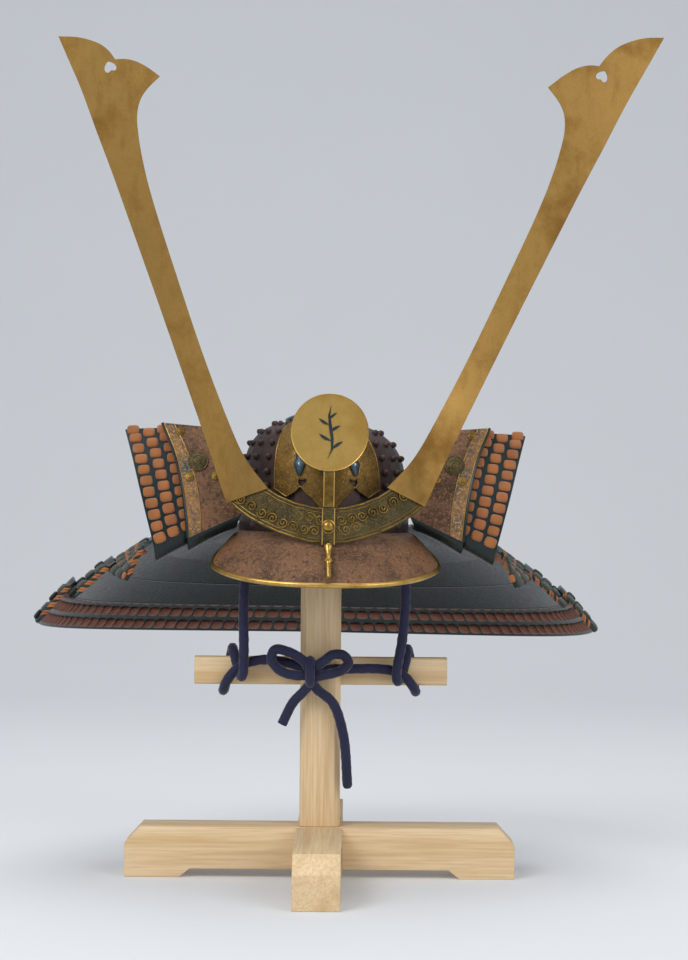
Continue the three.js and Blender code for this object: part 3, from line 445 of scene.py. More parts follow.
def repeat_tree(name, shape):
    """The node tree that puts a shape on every point, turned and sized by the points' attributes."""
    tree = bpy.data.node_groups.new(name, "GeometryNodeTree")
    for socket, kind in (("Geometry", "NodeSocketGeometry"), ("Width", "NodeSocketFloat"),
                         ("Height", "NodeSocketFloat"), ("Depth", "NodeSocketFloat"),
                         ("Spread", "NodeSocketFloat"), ("Seed", "NodeSocketInt"),
                         ("Finish", "NodeSocketMaterial")):
        tree.interface.new_socket(socket, in_out="INPUT", socket_type=kind)
    tree.interface.new_socket("Geometry", in_out="OUTPUT", socket_type="NodeSocketGeometry")
    nodes, links = tree.nodes, tree.links
    given, result = nodes.new("NodeGroupInput"), nodes.new("NodeGroupOutput")

    def node(kind, **settings):
        new = nodes.new(kind)
        for key, value in settings.items():
            setattr(new, key, value)
        return new

    size = node("ShaderNodeCombineXYZ")
    for axis, socket in zip("XYZ", ("Width", "Height", "Depth")):
        links.new(given.outputs[socket], size.inputs[axis])
    if shape == "block":
        solid = node("GeometryNodeMeshCube")
        solid.inputs["Vertices X"].default_value = 3
        solid.inputs["Vertices Y"].default_value = 3
        round_off = node("GeometryNodeSubdivisionSurface")
        round_off.inputs["Level"].default_value = 1
        links.new(solid.outputs["Mesh"], round_off.inputs["Mesh"])
        body = round_off.outputs["Mesh"]
        solid.inputs["Size"].default_value = (1.12, 1.12, 1.25)
    elif shape == "rivet":
        solid = node("GeometryNodeMeshUVSphere")
        solid.inputs["Segments"].default_value = 10
        solid.inputs["Rings"].default_value = 6
        solid.inputs["Radius"].default_value = 1
        body = solid.outputs["Mesh"]
    else:
        solid = node("GeometryNodeCurveSpiral")
        solid.inputs["Resolution"].default_value = 14
        solid.inputs["Rotations"].default_value = 1.6
        solid.inputs["Start Radius"].default_value = 0.5
        solid.inputs["End Radius"].default_value = 0.06
        solid.inputs["Height"].default_value = 0
        ring = node("GeometryNodeCurvePrimitiveCircle", mode="RADIUS")
        ring.inputs["Resolution"].default_value = 5
        ring.inputs["Radius"].default_value = 0.075
        wire = node("GeometryNodeCurveToMesh")
        wire.inputs["Fill Caps"].default_value = True
        links.new(solid.outputs["Curve"], wire.inputs["Curve"])
        links.new(ring.outputs["Curve"], wire.inputs["Profile Curve"])
        body = wire.outputs["Mesh"]
    local = node("GeometryNodeStoreNamedAttribute", data_type="FLOAT_VECTOR", domain="POINT")
    local.inputs["Name"].default_value = "local"
    links.new(body, local.inputs["Geometry"])
    links.new(node("GeometryNodeInputPosition").outputs[0], local.inputs["Value"])
    smooth = node("GeometryNodeSetShadeSmooth")
    links.new(local.outputs[0], smooth.inputs["Geometry"])

    turn = node("GeometryNodeInputNamedAttribute", data_type="QUATERNION")
    turn.inputs["Name"].default_value = "turn"
    share = node("GeometryNodeInputNamedAttribute", data_type="FLOAT_VECTOR")
    share.inputs["Name"].default_value = "share"
    chance = node("FunctionNodeRandomValue", data_type="FLOAT_VECTOR")
    links.new(given.outputs["Seed"], chance.inputs["Seed"])
    low = node("ShaderNodeMath", operation="SUBTRACT")
    low.inputs[0].default_value = 1
    high = node("ShaderNodeMath", operation="ADD")
    high.inputs[0].default_value = 1
    for bound, socket in ((low, "Min"), (high, "Max")):
        links.new(given.outputs["Spread"], bound.inputs[1])
        links.new(bound.outputs[0], chance.inputs[socket])
    product = node("ShaderNodeVectorMath", operation="MULTIPLY")
    links.new(size.outputs[0], product.inputs[0])
    links.new(share.outputs["Attribute"], product.inputs[1])
    varied = node("ShaderNodeVectorMath", operation="MULTIPLY")
    links.new(product.outputs[0], varied.inputs[0])
    links.new(chance.outputs["Value"], varied.inputs[1])
    place = node("GeometryNodeInstanceOnPoints")
    links.new(given.outputs["Geometry"], place.inputs["Points"])
    links.new(smooth.outputs[0], place.inputs["Instance"])
    links.new(turn.outputs["Attribute"], place.inputs["Rotation"])
    links.new(varied.outputs[0], place.inputs["Scale"])
    real = node("GeometryNodeRealizeInstances")
    links.new(place.outputs[0], real.inputs["Geometry"])
    paint = node("GeometryNodeSetMaterial")
    links.new(real.outputs[0], paint.inputs["Geometry"])
    links.new(given.outputs["Finish"], paint.inputs["Material"])
    links.new(paint.outputs[0], result.inputs[0])
    return tree


def repeat(name, shape, spots, size, material, seed, spread=0.04, replaced=()):
    """A piece of one shape on many spots. Each spot is (place, along, across, share) in metres."""
    mesh = bpy.data.meshes.new(name + "_spots")
    mesh.from_pydata([tuple(s[0]) for s in spots], [], [])
    turns, shares = [], []
    for _, along, across, part in spots:
        x = Vector(along).normalized()
        z = x.cross(Vector(across)).normalized()
        turns += list(Matrix((x, z.cross(x), z)).transposed().to_quaternion())
        shares += part
    mesh.attributes.new("turn", "QUATERNION", "POINT")
    mesh.attributes.new("share", "FLOAT_VECTOR", "POINT")
    mesh.attributes["turn"].data.foreach_set("value", turns)
    mesh.attributes["share"].data.foreach_set("vector", shares)
    holder = bpy.data.objects.new(name + "_spots", mesh)
    bpy.context.scene.collection.objects.link(holder)
    tree = repeat_tree(name, shape)
    modifier = holder.modifiers.new("repeat", "NODES")
    modifier.node_group = tree
    keys = {item.name: item.identifier for item in tree.interface.items_tree if item.in_out == "INPUT"}
    for key, value in (("Width", size[0]), ("Height", size[1]), ("Depth", size[2]), ("Spread", spread),
                       ("Seed", seed), ("Finish", material)):
        modifier[keys[key]] = value
    holder.update_tag()
    result = bpy.data.meshes.new_from_object(holder.evaluated_get(bpy.context.evaluated_depsgraph_get()))
    result.name = name
    holder.modifiers.clear()
    bpy.data.objects.remove(holder)
    return made(name, result, None, replaced)


def to_world(place, points):
    turn = np.array(place)
    return np.asarray(points, float) @ turn[:3, :3].T + turn[:3, 3]


# ---- finishes ----------------------------------------------------------------------------------------

class Finish:
    """A material while its nodes are put together."""

    def __init__(self, name, **values):
        self.material = bpy.data.materials.new(name)
        self.material.use_nodes = True
        self.tree = self.material.node_tree
        self.tree.nodes.clear()
        self.shader = self.node("ShaderNodeBsdfPrincipled")
        self.tree.links.new(self.shader.outputs[0], self.node("ShaderNodeOutputMaterial").inputs[0])
        self.place = self.node("ShaderNodeTexCoord").outputs["Object"]
        for key, value in values.items():
            self.put(self.shader.inputs[key.replace("_", " ")], value)

    def node(self, kind, **settings):
        new = self.tree.nodes.new(kind)
        for key, value in settings.items():
            setattr(new, key, value)
        return new

    def put(self, socket, value):
        if isinstance(value, bpy.types.NodeSocket):
            self.tree.links.new(value, socket)
        else:
            socket.default_value = value

    def attribute(self, name):
        return self.node("ShaderNodeAttribute", attribute_name=name).outputs["Vector"]

    def stretched(self, scale, turn=(0, 0, 0), at=None):
        new = self.node("ShaderNodeMapping")
        self.put(new.inputs["Vector"], at or self.place)
        new.inputs["Scale"].default_value = scale
        new.inputs["Rotation"].default_value = turn
        return new.outputs[0]

    def noise(self, scale, detail=4, rough=0.55, twist=0.0, at=None):
        new = self.node("ShaderNodeTexNoise")
        self.put(new.inputs["Vector"], at or self.place)
        for key, value in (("Scale", scale), ("Detail", detail), ("Roughness", rough), ("Distortion", twist)):
            new.inputs[key].default_value = value
        return new.outputs["Fac"]

    def cells(self, scale, feature="F1", at=None, output="Distance"):
        new = self.node("ShaderNodeTexVoronoi", feature=feature)
        self.put(new.inputs["Vector"], at or self.place)
        new.inputs["Scale"].default_value = scale
        return new.outputs[output]

    def bands(self, scale, direction="X", twist=0.0, detail=2, at=None, profile="SIN"):
        new = self.node("ShaderNodeTexWave", bands_direction=direction, wave_profile=profile)
        self.put(new.inputs["Vector"], at or self.place)
        new.inputs["Scale"].default_value = scale
        new.inputs["Distortion"].default_value = twist
        new.inputs["Detail"].default_value = detail
        return new.outputs["Fac"]

    def steps(self, value, *stops):
        """Colours or greys by value: stops are (position, colour or grey)."""
        new = self.node("ShaderNodeValToRGB")
        self.put(new.inputs[0], value)
        ramp = new.color_ramp
        while len(ramp.elements) < len(stops):
            ramp.elements.new(0.5)
        for element, (position, shade) in zip(ramp.elements, stops):
            element.position = position
            element.color = shade if hasattr(shade, "__len__") else (shade, shade, shade, 1)
        return new.outputs["Color"]

    def mix(self, share, first, second, blend="MIX"):
        new = self.node("ShaderNodeMix", data_type="RGBA", blend_type=blend)
        self.put(new.inputs[0], share)
        self.put(new.inputs[6], first)
        self.put(new.inputs[7], second)
        return new.outputs[2]

    def math(self, operation, first, second=0.0):
        new = self.node("ShaderNodeMath", operation=operation)
        self.put(new.inputs[0], first)
        self.put(new.inputs[1], second)
        return new.outputs[0]

    def bump(self, height, depth, strength=1.0, normal=None):
        new = self.node("ShaderNodeBump")
        self.put(new.inputs["Height"], height)
        new.inputs["Distance"].default_value = depth
        new.inputs["Strength"].default_value = strength
        if normal:
            self.put(new.inputs["Normal"], normal)
        self.put(self.shader.inputs["Normal"], new.outputs[0])
        return new.outputs[0]

    def colour(self, value):
        self.put(self.shader.inputs["Base Color"], value)

    def rough(self, value):
        self.put(self.shader.inputs["Roughness"], value)


def scaled(shade, factor):
    return tuple(min(1.0, c * factor) for c in shade[:3]) + (1.0,)


def tinted(shade, red, green, blue):
    return (min(1.0, shade[0] * red), min(1.0, shade[1] * green), min(1.0, shade[2] * blue), 1.0)


def wood_finish(name, shade, along):
    """Planed cypress: fine straight grain along one axis, with a few darker bands."""
    f = Finish(name, Roughness=0.52)
    squash = [1.0, 1.0, 1.0]
    squash["XYZ".index(along)] = 0.035
    line = f.stretched(squash)
    fine = f.noise(420, 3, 0.6, at=line)
    broad = f.noise(60, 4, 0.5, 0.6, at=line)
    tone = f.steps(broad, (0.3, tinted(shade, 0.86, 0.78, 0.66)), (0.5, shade), (0.72, tinted(shade, 1.06, 1.08, 1.12)))
    f.colour(f.mix(f.steps(fine, (0.42, 0.0), (0.66, 0.5)), tone, tinted(shade, 0.74, 0.62, 0.5)))
    f.rough(f.steps(fine, (0.3, 0.48), (0.8, 0.62)))
    f.bump(fine, 0.0002, 0.35)
    return f.material


def worn_metal(name, shade, dull, wear_scale=22, rough=(0.3, 0.52), speck=0.5, metal=1.0):
    """Old brass or gilding: bright where it is rubbed, dull in clouds, and finely pitted."""
    f = Finish(name, Metallic=metal)
    clouds = f.noise(wear_scale, 6, 0.62)
    pits = f.noise(700, 3, 0.7)
    streak = f.noise(90, 5, 0.6, at=f.stretched((1, 1, 0.3)))
    tone = f.steps(clouds, (0.34, dull), (0.52, shade), (0.7, scaled(shade, 1.18)))
    tone = f.mix(f.steps(streak, (0.5, 0.0), (0.72, 0.45)), tone, dull)
    f.colour(f.mix(f.steps(pits, (0.55, 0.0), (0.75, speck)), tone, scaled(dull, 0.5)))
    f.rough(f.steps(clouds, (0.3, rough[1]), (0.7, rough[0])))
    f.bump(pits, 0.0003, 0.25)
    return f.material


def engraved_metal(name, shade, line_shade):
    """Dark bronze with a worn, lighter engraving of fine curls."""
    f = Finish(name, Metallic=0.85)
    clouds = f.noise(45, 5, 0.6)
    curls = f.cells(150, "DISTANCE_TO_EDGE", at=f.stretched((1, 1, 1)))
    wander = f.noise(230, 2, 0.5, 2.2)
    lines = f.steps(wander, (0.47, 0.0), (0.5, 1.0), (0.53, 0.0))
    tone = f.steps(clouds, (0.3, scaled(shade, 0.5)), (0.55, shade), (0.75, tinted(shade, 1.35, 1.3, 1.1)))
    tone = f.mix(f.math("MULTIPLY", lines, 0.75), tone, line_shade)
    f.colour(f.mix(f.steps(curls, (0.0, 0.55), (0.05, 0.0)), tone, scaled(shade, 0.35)))
    f.rough(f.steps(clouds, (0.3, 0.55), (0.7, 0.36)))
    f.bump(f.mix(0.5, lines, f.steps(curls, (0.0, 0.0), (0.06, 1.0))), 0.0004, 0.6)
    return f.material


def iron_finish(name, shade):
    """Russet iron: nearly black brown, faintly rusty and finely pitted."""
    f = Finish(name, Metallic=0.55)
    clouds = f.noise(38, 6, 0.65)
    pits = f.noise(480, 4, 0.7)
    rust = f.noise(150, 5, 0.7, 0.5)
    tone = f.steps(clouds, (0.35, scaled(shade, 0.6)), (0.6, shade), (0.8, scaled(shade, 1.4)))
    f.colour(f.mix(f.steps(rust, (0.52, 0.0), (0.7, 0.6)), tone, tinted(shade, 1.9, 1.25, 0.95)))
    f.rough(f.steps(pits, (0.3, 0.42), (0.75, 0.66)))
    f.bump(f.mix(0.35, pits, rust), 0.0005, 0.45)
    return f.material


def leather_finish(name, shade, bright, dark):
    """Smoked leather, worn: a mesh of light specks over red-brown, with rubbed and dark patches."""
    f = Finish(name, Roughness=0.62, Specular_IOR_Level=0.35)
    patches = f.noise(26, 5, 0.6)
    specks = f.cells(430, "DISTANCE_TO_EDGE")
    grains = f.noise(520, 3, 0.65)
    tone = f.steps(patches, (0.34, dark), (0.5, shade), (0.68, tinted(shade, 1.2, 1.12, 1.0)))
    tone = f.mix(f.steps(grains, (0.5, 0.0), (0.6, 0.85)), tone, bright)
    tone = f.mix(f.steps(f.noise(260, 4, 0.7), (0.54, 0.0), (0.62, 0.8)), tone, scaled(dark, 0.7))
    tone = f.mix(f.steps(specks, (0.0, 0.6), (0.09, 0.0)), tone, scaled(dark, 0.6))
    f.colour(tone)
    f.rough(f.steps(patches, (0.3, 0.72), (0.7, 0.5)))
    f.bump(f.mix(0.5, grains, f.steps(specks, (0.0, 0.0), (0.12, 1.0))), 0.0005, 0.6)
    return f.material


def lacquer_finish(name, shade):
    """Dark lacquer: deep, softly glossy, with a faint unevenness."""
    f = Finish(name, Roughness=0.38, Specular_IOR_Level=0.32, Coat_Weight=0.15, Coat_Roughness=0.3)
    clouds = f.noise(18, 4, 0.6)
    scuffs = f.noise(260, 5, 0.7)
    tone = f.steps(clouds, (0.3, scaled(shade, 0.6)), (0.7, scaled(shade, 1.35)))
    f.colour(f.mix(f.steps(scuffs, (0.6, 0.0), (0.78, 0.4)), tone, tinted(shade, 2.2, 2.0, 1.8)))
    f.rough(f.steps(scuffs, (0.4, 0.26), (0.75, 0.44)))
    f.bump(clouds, 0.0008, 0.25)
    return f.material


def lacing_finish(name, shade, dark):
    """Braided silk lacing: slanting strands that meet in the middle of each knot, with painted shade in the troughs
    between the strands.
    """
    f = Finish(name, Roughness=0.85, Sheen_Weight=0.25)
    local = f.attribute("local")
    split = f.node("ShaderNodeSeparateXYZ")
    f.put(split.inputs[0], local)
    lean = f.math("ABSOLUTE", split.outputs["X"])
    run = f.math("MULTIPLY", f.math("ADD", split.outputs["Y"], f.math("MULTIPLY", lean, 0.8)), 30)
    strands = f.math("SINE", run)
    fade = f.noise(45, 4, 0.6)
    fuzz = f.noise(900, 3, 0.7)
    tone = f.steps(fade, (0.32, tinted(shade, 0.68, 0.6, 0.55)), (0.55, shade), (0.75, tinted(shade, 1.2, 1.22, 1.25)))
    # Painted shade: where the strand wave dips, the tone is mixed towards dark, standing for shade between the strands.
    tone = f.mix(f.steps(f.math("MULTIPLY", strands, 0.5), (0.0, 0.55), (0.3, 0.0)), tone, dark)
    f.colour(f.mix(f.steps(fuzz, (0.5, 0.0), (0.75, 0.5)), tone, dark))
    f.bump(f.mix(0.3, strands, fuzz), 0.0006, 0.7)
    return f.material


def silk_cord(name, shade):
    """Braided silk: dark in its grooves, with a soft sheen and fine fibres."""
    f = Finish(name, Roughness=0.8, Sheen_Weight=0.35, Sheen_Roughness=0.4)
    fade = f.noise(60, 3, 0.5)
    fibre = f.noise(1300, 3, 0.7)
    tone = f.steps(fade, (0.3, scaled(shade, 0.75)), (0.7, tinted(shade, 1.25, 1.25, 1.2)))
    f.colour(f.mix(f.steps(fibre, (0.45, 0.0), (0.7, 0.6)), tone, scaled(shade, 0.35)))
    f.bump(fibre, 0.0005, 0.7)
    return f.material


def plain_finish(name, shade, rough=0.9, glow=0.0):
    f = Finish(name, Roughness=rough, Emission_Color=shade, Emission_Strength=glow)
    soft = f.noise(3, 2, 0.4)
    f.colour(f.steps(soft, (0.2, scaled(shade, 0.99)), (0.8, scaled(shade, 1.01))))
    return f.material


MATERIALS = {}


def finish(name):
    """The scene's material of that name, made the first time that it is asked for."""
    if name in MATERIALS:
        return MATERIALS[name]
    c = bpy.context.scene.kabuto_colours
    shade = {key: tuple(getattr(c, key)) for key in KabutoColours.__annotations__}
    make = {
        "wood_x": lambda: wood_finish("wood_x", shade["wood"], "X"),
        "wood_y": lambda: wood_finish("wood_y", shade["wood"], "Y"),
        "wood_z": lambda: wood_finish("wood_z", shade["wood"], "Z"),
        "brass": lambda: worn_metal("brass", shade["brass"], tinted(shade["brass"], 0.62, 0.55, 0.48), 16),
        "gilt": lambda: worn_metal("gilt", shade["gilt"], tinted(shade["gilt"], 0.66, 0.58, 0.5), 30, (0.26, 0.45)),
        "gilt_plate": lambda: engraved_metal("gilt_plate", tinted(shade["gilt"], 0.3, 0.27, 0.26),
                                             tinted(shade["gilt"], 0.7, 0.62, 0.5)),
        "bronze": lambda: engraved_metal("bronze", shade["bronze"], tinted(shade["gilt"], 0.6, 0.58, 0.5)),
        "iron": lambda: iron_finish("iron", shade["iron"]),
        "steel": lambda: worn_metal("steel", shade["steel"], scaled(shade["steel"], 0.5), 60, (0.3, 0.5), 0.3, 0.8),
        "leather": lambda: leather_finish("leather", shade["leather"], tinted(shade["leather"], 1.9, 1.8, 1.5),
                                          tinted(shade["leather"], 0.32, 0.3, 0.34)),
        "border": lambda: leather_finish("border", tinted(shade["leather"], 1.5, 1.4, 1.15),
                                         tinted(shade["gilt"], 1.0, 0.95, 0.8), scaled(shade["steel"], 0.7)),
        "lacquer": lambda: lacquer_finish("lacquer", shade["lacquer"]),
        # Each lacing's dark colour is both its painted shade between the strands and the colour of its random fuzz.
        "lacing": lambda: lacing_finish("lacing", shade["lacing"], tinted(shade["lacing"], 0.34, 0.26, 0.22)),
        "brown": lambda: lacing_finish("brown", shade["brown"], scaled(shade["brown"], 0.3)),
        "green": lambda: lacing_finish("green", shade["green"], scaled(shade["green"], 0.35)),
        "silver": lambda: worn_metal("silver", colour(190, 190, 186), colour(110, 108, 104), 80, (0.25, 0.4), 0.2),
        "bright_brass": lambda: worn_metal("bright_brass", tinted(shade["gilt"], 0.9, 0.88, 0.8),
                                           tinted(shade["gilt"], 0.5, 0.45, 0.38), 50, (0.22, 0.36), 0.25),
        "bright_bronze": lambda: worn_metal("bright_bronze", tinted(shade["gilt"], 0.46, 0.44, 0.4),
                                            tinted(shade["gilt"], 0.2, 0.19, 0.18), 70, (0.38, 0.55), 0.5),
        "disc": lambda: worn_metal("disc", shade["gilt"], tinted(shade["gilt"], 0.8, 0.74, 0.66), 24, (0.34, 0.46), 0.35),
        "dark_steel": lambda: worn_metal("dark_steel", colour(38, 50, 56), colour(24, 30, 34), 60, (0.4, 0.55), 0.3, 0.4),
        "cord": lambda: silk_cord("cord", shade["cord"]),
        "edging": lambda: silk_cord("edging", tinted(shade["lacing"], 0.8, 0.7, 0.65)),
        "dark_edging": lambda: silk_cord("dark_edging", shade["lacquer"]),
        "backdrop": lambda: plain_finish("backdrop", shade["backdrop"], glow=0.16),
    }
    MATERIALS[name] = make[name]()
    return MATERIALS[name]


# ---- the helmet's surfaces ---------------------------------------------------------------------------

def lean_at(z):
    return BOWL["lean"] * np.maximum(0, (np.asarray(z, float) - BOWL["base"]) / BOWL["height"]) ** 3


def on_bowl(angle, z, out=0.0):
    """Points on the bowl: angles from the front in degrees, heights, and how far out."""
    angle, z = np.radians(np.asarray(angle, float)), np.asarray(z, float)
    up = np.minimum(z - BOWL["base"], BOWL["height"] - 0.01)
    share = (1 - (up / BOWL["height"]) ** DOME["rise"]) ** (1 / DOME["round"])
    slope = np.clip((z - BOWL["base"]) / BOWL["height"], 0, 1) ** 3
    side = out * np.sqrt(1 - slope * slope)
    return np.stack(np.broadcast_arrays(
        np.sin(angle) * (BOWL["half_width"] * share + side) + lean_at(z),
        -np.cos(angle) * (BOWL["half_depth"] * share + side), z + out * slope), axis=-1)


def angle_at(x, z):
    """The angle from the front at which the bowl is x to the side, at a height."""
    up = min(z - BOWL["base"], BOWL["height"] - 0.01)
    share = (1 - (up / BOWL["height"]) ** DOME["rise"]) ** (1 / DOME["round"])
    return math.degrees(math.asin(max(-1, min(1, (x - lean_at(z)) / (BOWL["half_width"] * share)))))


def crest_depth(x):
    far = np.abs(x)
    near = CREST["front"] + CREST["bend"] * far ** 2
    slope = 2 * CREST["bend"] * CREST["straight"]
    past = (CREST["front"] + CREST["bend"] * CREST["straight"] ** 2
            + slope * CREST["flatten"] * (1 - np.exp((CREST["straight"] - far) / CREST["flatten"])))
    return np.where(far < CREST["straight"], near, past)


def visor_rows(step=1.5, across=13):
    """The visor's outer face: rows from its seat under the bowl to its rim."""
    turns = np.arange(-90, 90 + step / 2, step)
    a, b = np.radians(turns * VISOR_SEAT["reach"]), np.radians(turns)
    seat = np.stack([VISOR_SEAT["half_width"] * np.sin(a), -VISOR_SEAT["half_depth"] * np.cos(a),
                     np.full(len(turns), float(VISOR_SEAT["z"]))], axis=-1)
    rim = np.stack([VISOR["half_width"] * np.sin(b), VISOR["centre"] - VISOR["front"] * np.cos(b),
                    VISOR["low"] + VISOR["side_rise"] * (1 - np.cos(b)) ** 1.3], axis=-1)
    past = np.maximum(0, (np.abs(turns) - 72) / 18)
    share = np.sqrt(1 - 0.8 * past ** 2)
    s = np.linspace(0, 1, across)
    rows = seat[:, None] + (rim - seat)[:, None] * (s[None] * share[:, None])[..., None]
    rows[..., 2] += VISOR["bulge"] * 4 * s * (1 - s) * np.cos(np.radians(turns * 0.6))[:, None]
    return rows


def lame_edge(edge, angle):
    side, back, side_z, back_z = edge
    s, c = np.sin(np.radians(angle)), np.cos(np.radians(angle))
    behind = c > 0
    z = np.where(behind, side_z + (back_z - side_z) * np.maximum(c, 0) ** LAME_SAG, side_z + LAME_DIP * c)
    return np.stack([side * s, np.where(behind, back, LAME_FRONT) * c, z], axis=-1)


def between(upper, outer, bulge, across=9):
    s = np.linspace(0, 1, across)[None, :, None]
    rows = upper[:, None] * (1 - s) + outer[:, None] * s
    rows[..., 2] += bulge * 4 * (s * (1 - s))[..., 0]
    return rows


def lower_rows(lame):
    angle = np.linspace(-lame["reach"], lame["reach"], 121)
    upper, outer = lame_edge(lame["top"], angle), lame_edge(lame["low"], angle)
    past = np.where(np.abs(angle) > 90, np.cos(np.radians(angle)) ** 2, 0)
    upper[:, 0] += np.sign(angle) * lame["flare"] * past
    rows = between(upper, outer, 1.5)
    rows[..., 2] -= LAME_TIP * np.maximum(0, rows[..., 0])
    rows[..., 0] += lame["hang"]
    return rows


def upper_rows(lame):
    """Rows of an upper lame from its left turnback, round the back, to its right turnback."""
    angle = np.arange(0, 91, 7.5)
    back = [(u, o) for u, o in zip(lame_edge(lame["top"], angle), lame_edge(lame["low"], angle))]
    right = back + [(np.array(u, float), np.array(o, float)) for u, o in lame["front"]]
    flip = np.array([-1, 1, 1])
    both = [(u * flip, o * flip) for u, o in right[:0:-1]] + right
    upper = np.array([u for u, _ in both])
    outer = np.array([o for _, o in both])
    count = 160
    line = spline(np.hstack([upper, outer]), long(np.hstack([upper, outer])) / count)
    return between(line[:, :3], line[:, 3:], 1.0)


def turnback_rows(lame, side, count=60):
    """The turned-up panel of an upper lame: rows from its foot to its top, inner to outer edge."""
    table = lame["front"][TURNBACK_ROW:]
    both = np.array([list(u) + list(o) for u, o in table], float)
    line = spline(both, long(both) / count)
    rows = between(line[:, :3], line[:, 3:], 0)
    if side < 0:
        rows[..., 0] *= -1
    return rows


def row_spots(rows, share, pitch, out, ends=0.0, offset=0.0, narrow=1.0, reach=1.0):
    """Spots along a row of a grid at a share across it, pitch apart, each lifted out by out.
    Within reach of either end they narrow to that share of their width."""
    at = share * (rows.shape[1] - 1)
    j = min(int(at), rows.shape[1] - 2)
    face = normals(rows)
    line = rows[:, j] * (1 - at + j) + rows[:, j + 1] * (at - j)
    up = face[:, j] * (1 - at + j) + face[:, j + 1] * (at - j)
    over = rows[:, j + 1] - rows[:, j]
    far = np.concatenate([[0], np.cumsum(np.linalg.norm(np.diff(line, axis=0), axis=1))])
    spots = []
    ahead = np.gradient(line, axis=0)
    d = ends + offset
    while d < far[-1] - ends:
        width = narrow + (1 - narrow) * min(1.0, min(d, far[-1] - d) / reach)
        d += pitch * width / 2
        point, normal, along, across = (
            np.array([np.interp(d, far, v[:, i]) for i in range(3)]) for v in (line, up, ahead, over))
        spots.append((to_world(HELMET, point + normal * out), turned_way(along), turned_way(across),
                      (width, 1.0, 1.0)))
        d += pitch * width / 2
    return spots


def turned_way(direction):
    """A direction in the helmet's frame, in the object's frame."""
    return np.array(HELMET)[:3, :3] @ direction / MM


# ---- operators ---------------------------------------------------------------------------------------

class KABUTO_OT_stage(bpy.types.Operator):
    """Adds the camera, the floor, the wall behind and the soft lights"""
    bl_idname = "kabuto.stage"
    bl_label = "Stage"

    def execute(self, context):
        yaw, pitch, roll = (math.radians(CAMERA[k]) for k in ("yaw", "pitch", "roll"))
        ahead = Vector((math.sin(yaw) * math.cos(pitch), math.cos(yaw) * math.cos(pitch), math.sin(pitch)))
        right = Vector((math.cos(yaw), -math.sin(yaw), 0))
        up = right.cross(ahead)
        tipped = right * math.cos(roll) + up * math.sin(roll)
        up = up * math.cos(roll) - right * math.sin(roll)
        data = bpy.data.cameras.new("camera")
        data.lens, data.sensor_width, data.sensor_fit = CAMERA["lens"], CAMERA["sensor"], "AUTO"
        data.clip_end = 50
        camera = bpy.data.objects.new("camera", data)
        camera.matrix_world = Matrix((tipped, up, -ahead)).transposed().to_4x4()
        camera.location = AXIS + Vector((CAMERA["x"], CAMERA["y"], CAMERA["z"])) * MM
        context.scene.collection.objects.link(camera)
        context.scene.camera = camera

        turn = np.linspace(0, math.pi / 2, 14)
        bend, deep = 1.6, 1.9
        line = [(-9.0, 0.0)] + [(deep + bend * math.sin(t), bend * (1 - math.cos(t))) for t in turn] + [(3.5, 7.0)]
        points = [(x, y, z) for x in (-8, 8) for y, z in line]
        mesh = bpy.data.meshes.new("backdrop")
        mesh.from_pydata(points, [], [[i, i + len(line), i + len(line) + 1, i + 1] for i in range(len(line) - 1)])
        mesh.shade_smooth()
        mesh.materials.append(finish("backdrop"))
        backdrop = bpy.data.objects.new("backdrop", mesh)
        context.scene.collection.objects.link(backdrop)

        for name, place, size, power in (("key_light", (-1.5, -1.9, 2.3), 1.6, 46),
                                         ("fill_light", (1.9, -2.1, 1.6), 1.8, 26),
                                         ("top_light", (0.1, 0.4, 2.6), 1.8, 22)):
            lamp = bpy.data.lights.new(name, "AREA")
            lamp.energy, lamp.size = power, size
            lamp_object = bpy.data.objects.new(name, lamp)
            lamp_object.location = place
            aim = Vector((0, 0, 0.4)) - Vector(place)
            lamp_object.rotation_euler = aim.to_track_quat("-Z", "Y").to_euler()
            context.scene.collection.objects.link(lamp_object)
        world = bpy.data.worlds.new("studio")
        world.use_nodes = True
        world.node_tree.nodes["Background"].inputs["Color"].default_value = (0.9, 0.95, 1.0, 1)
        world.node_tree.nodes["Background"].inputs["Strength"].default_value = 0.5
        context.scene.world = world
        context.scene.view_settings.view_transform = "Standard"
        return {"FINISHED"}


class KABUTO_OT_chin_cord(bpy.types.Operator):
    """Adds the braided chin cord: its two halves, the bow's knot and the tip"""
    bl_idname = "kabuto.chin_cord"
    bl_label = "Chin cord"

    def execute(self, context):
        sizes = context.scene.kabuto_sizes
        radius, pitch = sizes.cord / 2 / MM, sizes.braid / MM
        silk = finish("cord")
        wrap = spline([(-11, -39 - 11 * math.cos(t), 230.5 + 13 * math.sin(t)) for t in
                       np.linspace(0, 2 * math.pi, 12, endpoint=False)], 1.3, closed=True)[:-1]
        knot = piece("bow_knot_wrap", [tube(wrap, radius, 24, True, braided(radius * 0.95, pitch))], STAND, silk,
                     "cord", ["bow_knot"])
        end, before = np.array(CORD_RIGHT[-1]), np.array(CORD_RIGHT[-2])
        way = (end - before) / np.linalg.norm(end - before)
        cap = [(5.0, 0), (5.3, 0.6), (5.3, 4), (4.6, 7.5), (3.0, 9)]
        tip = piece("cord_tip", [turned(cap, 20, end - way * 6, way)], STAND, finish("steel"), "steel")
        halves = (("chin_cord_left_half", CORD_LEFT, [knot],
                   ["chin_cord_left", "cord_turn_left", "bow_loop_left", "bow_end_left"], "bare"),
                  ("chin_cord_right_half", CORD_RIGHT, [tip],
                   ["chin_cord_right", "cord_turn_right", "bow_loop_right", "bow_end_right"], "fitting"))
        for name, points, with_pieces, nodes, end_kind in halves:
            line = spline(points, 1.3)
            cord = piece(name, [tube(line, radius, 24, relief=braided(radius, pitch))], STAND, silk, "cord", nodes)
        return {"FINISHED"}


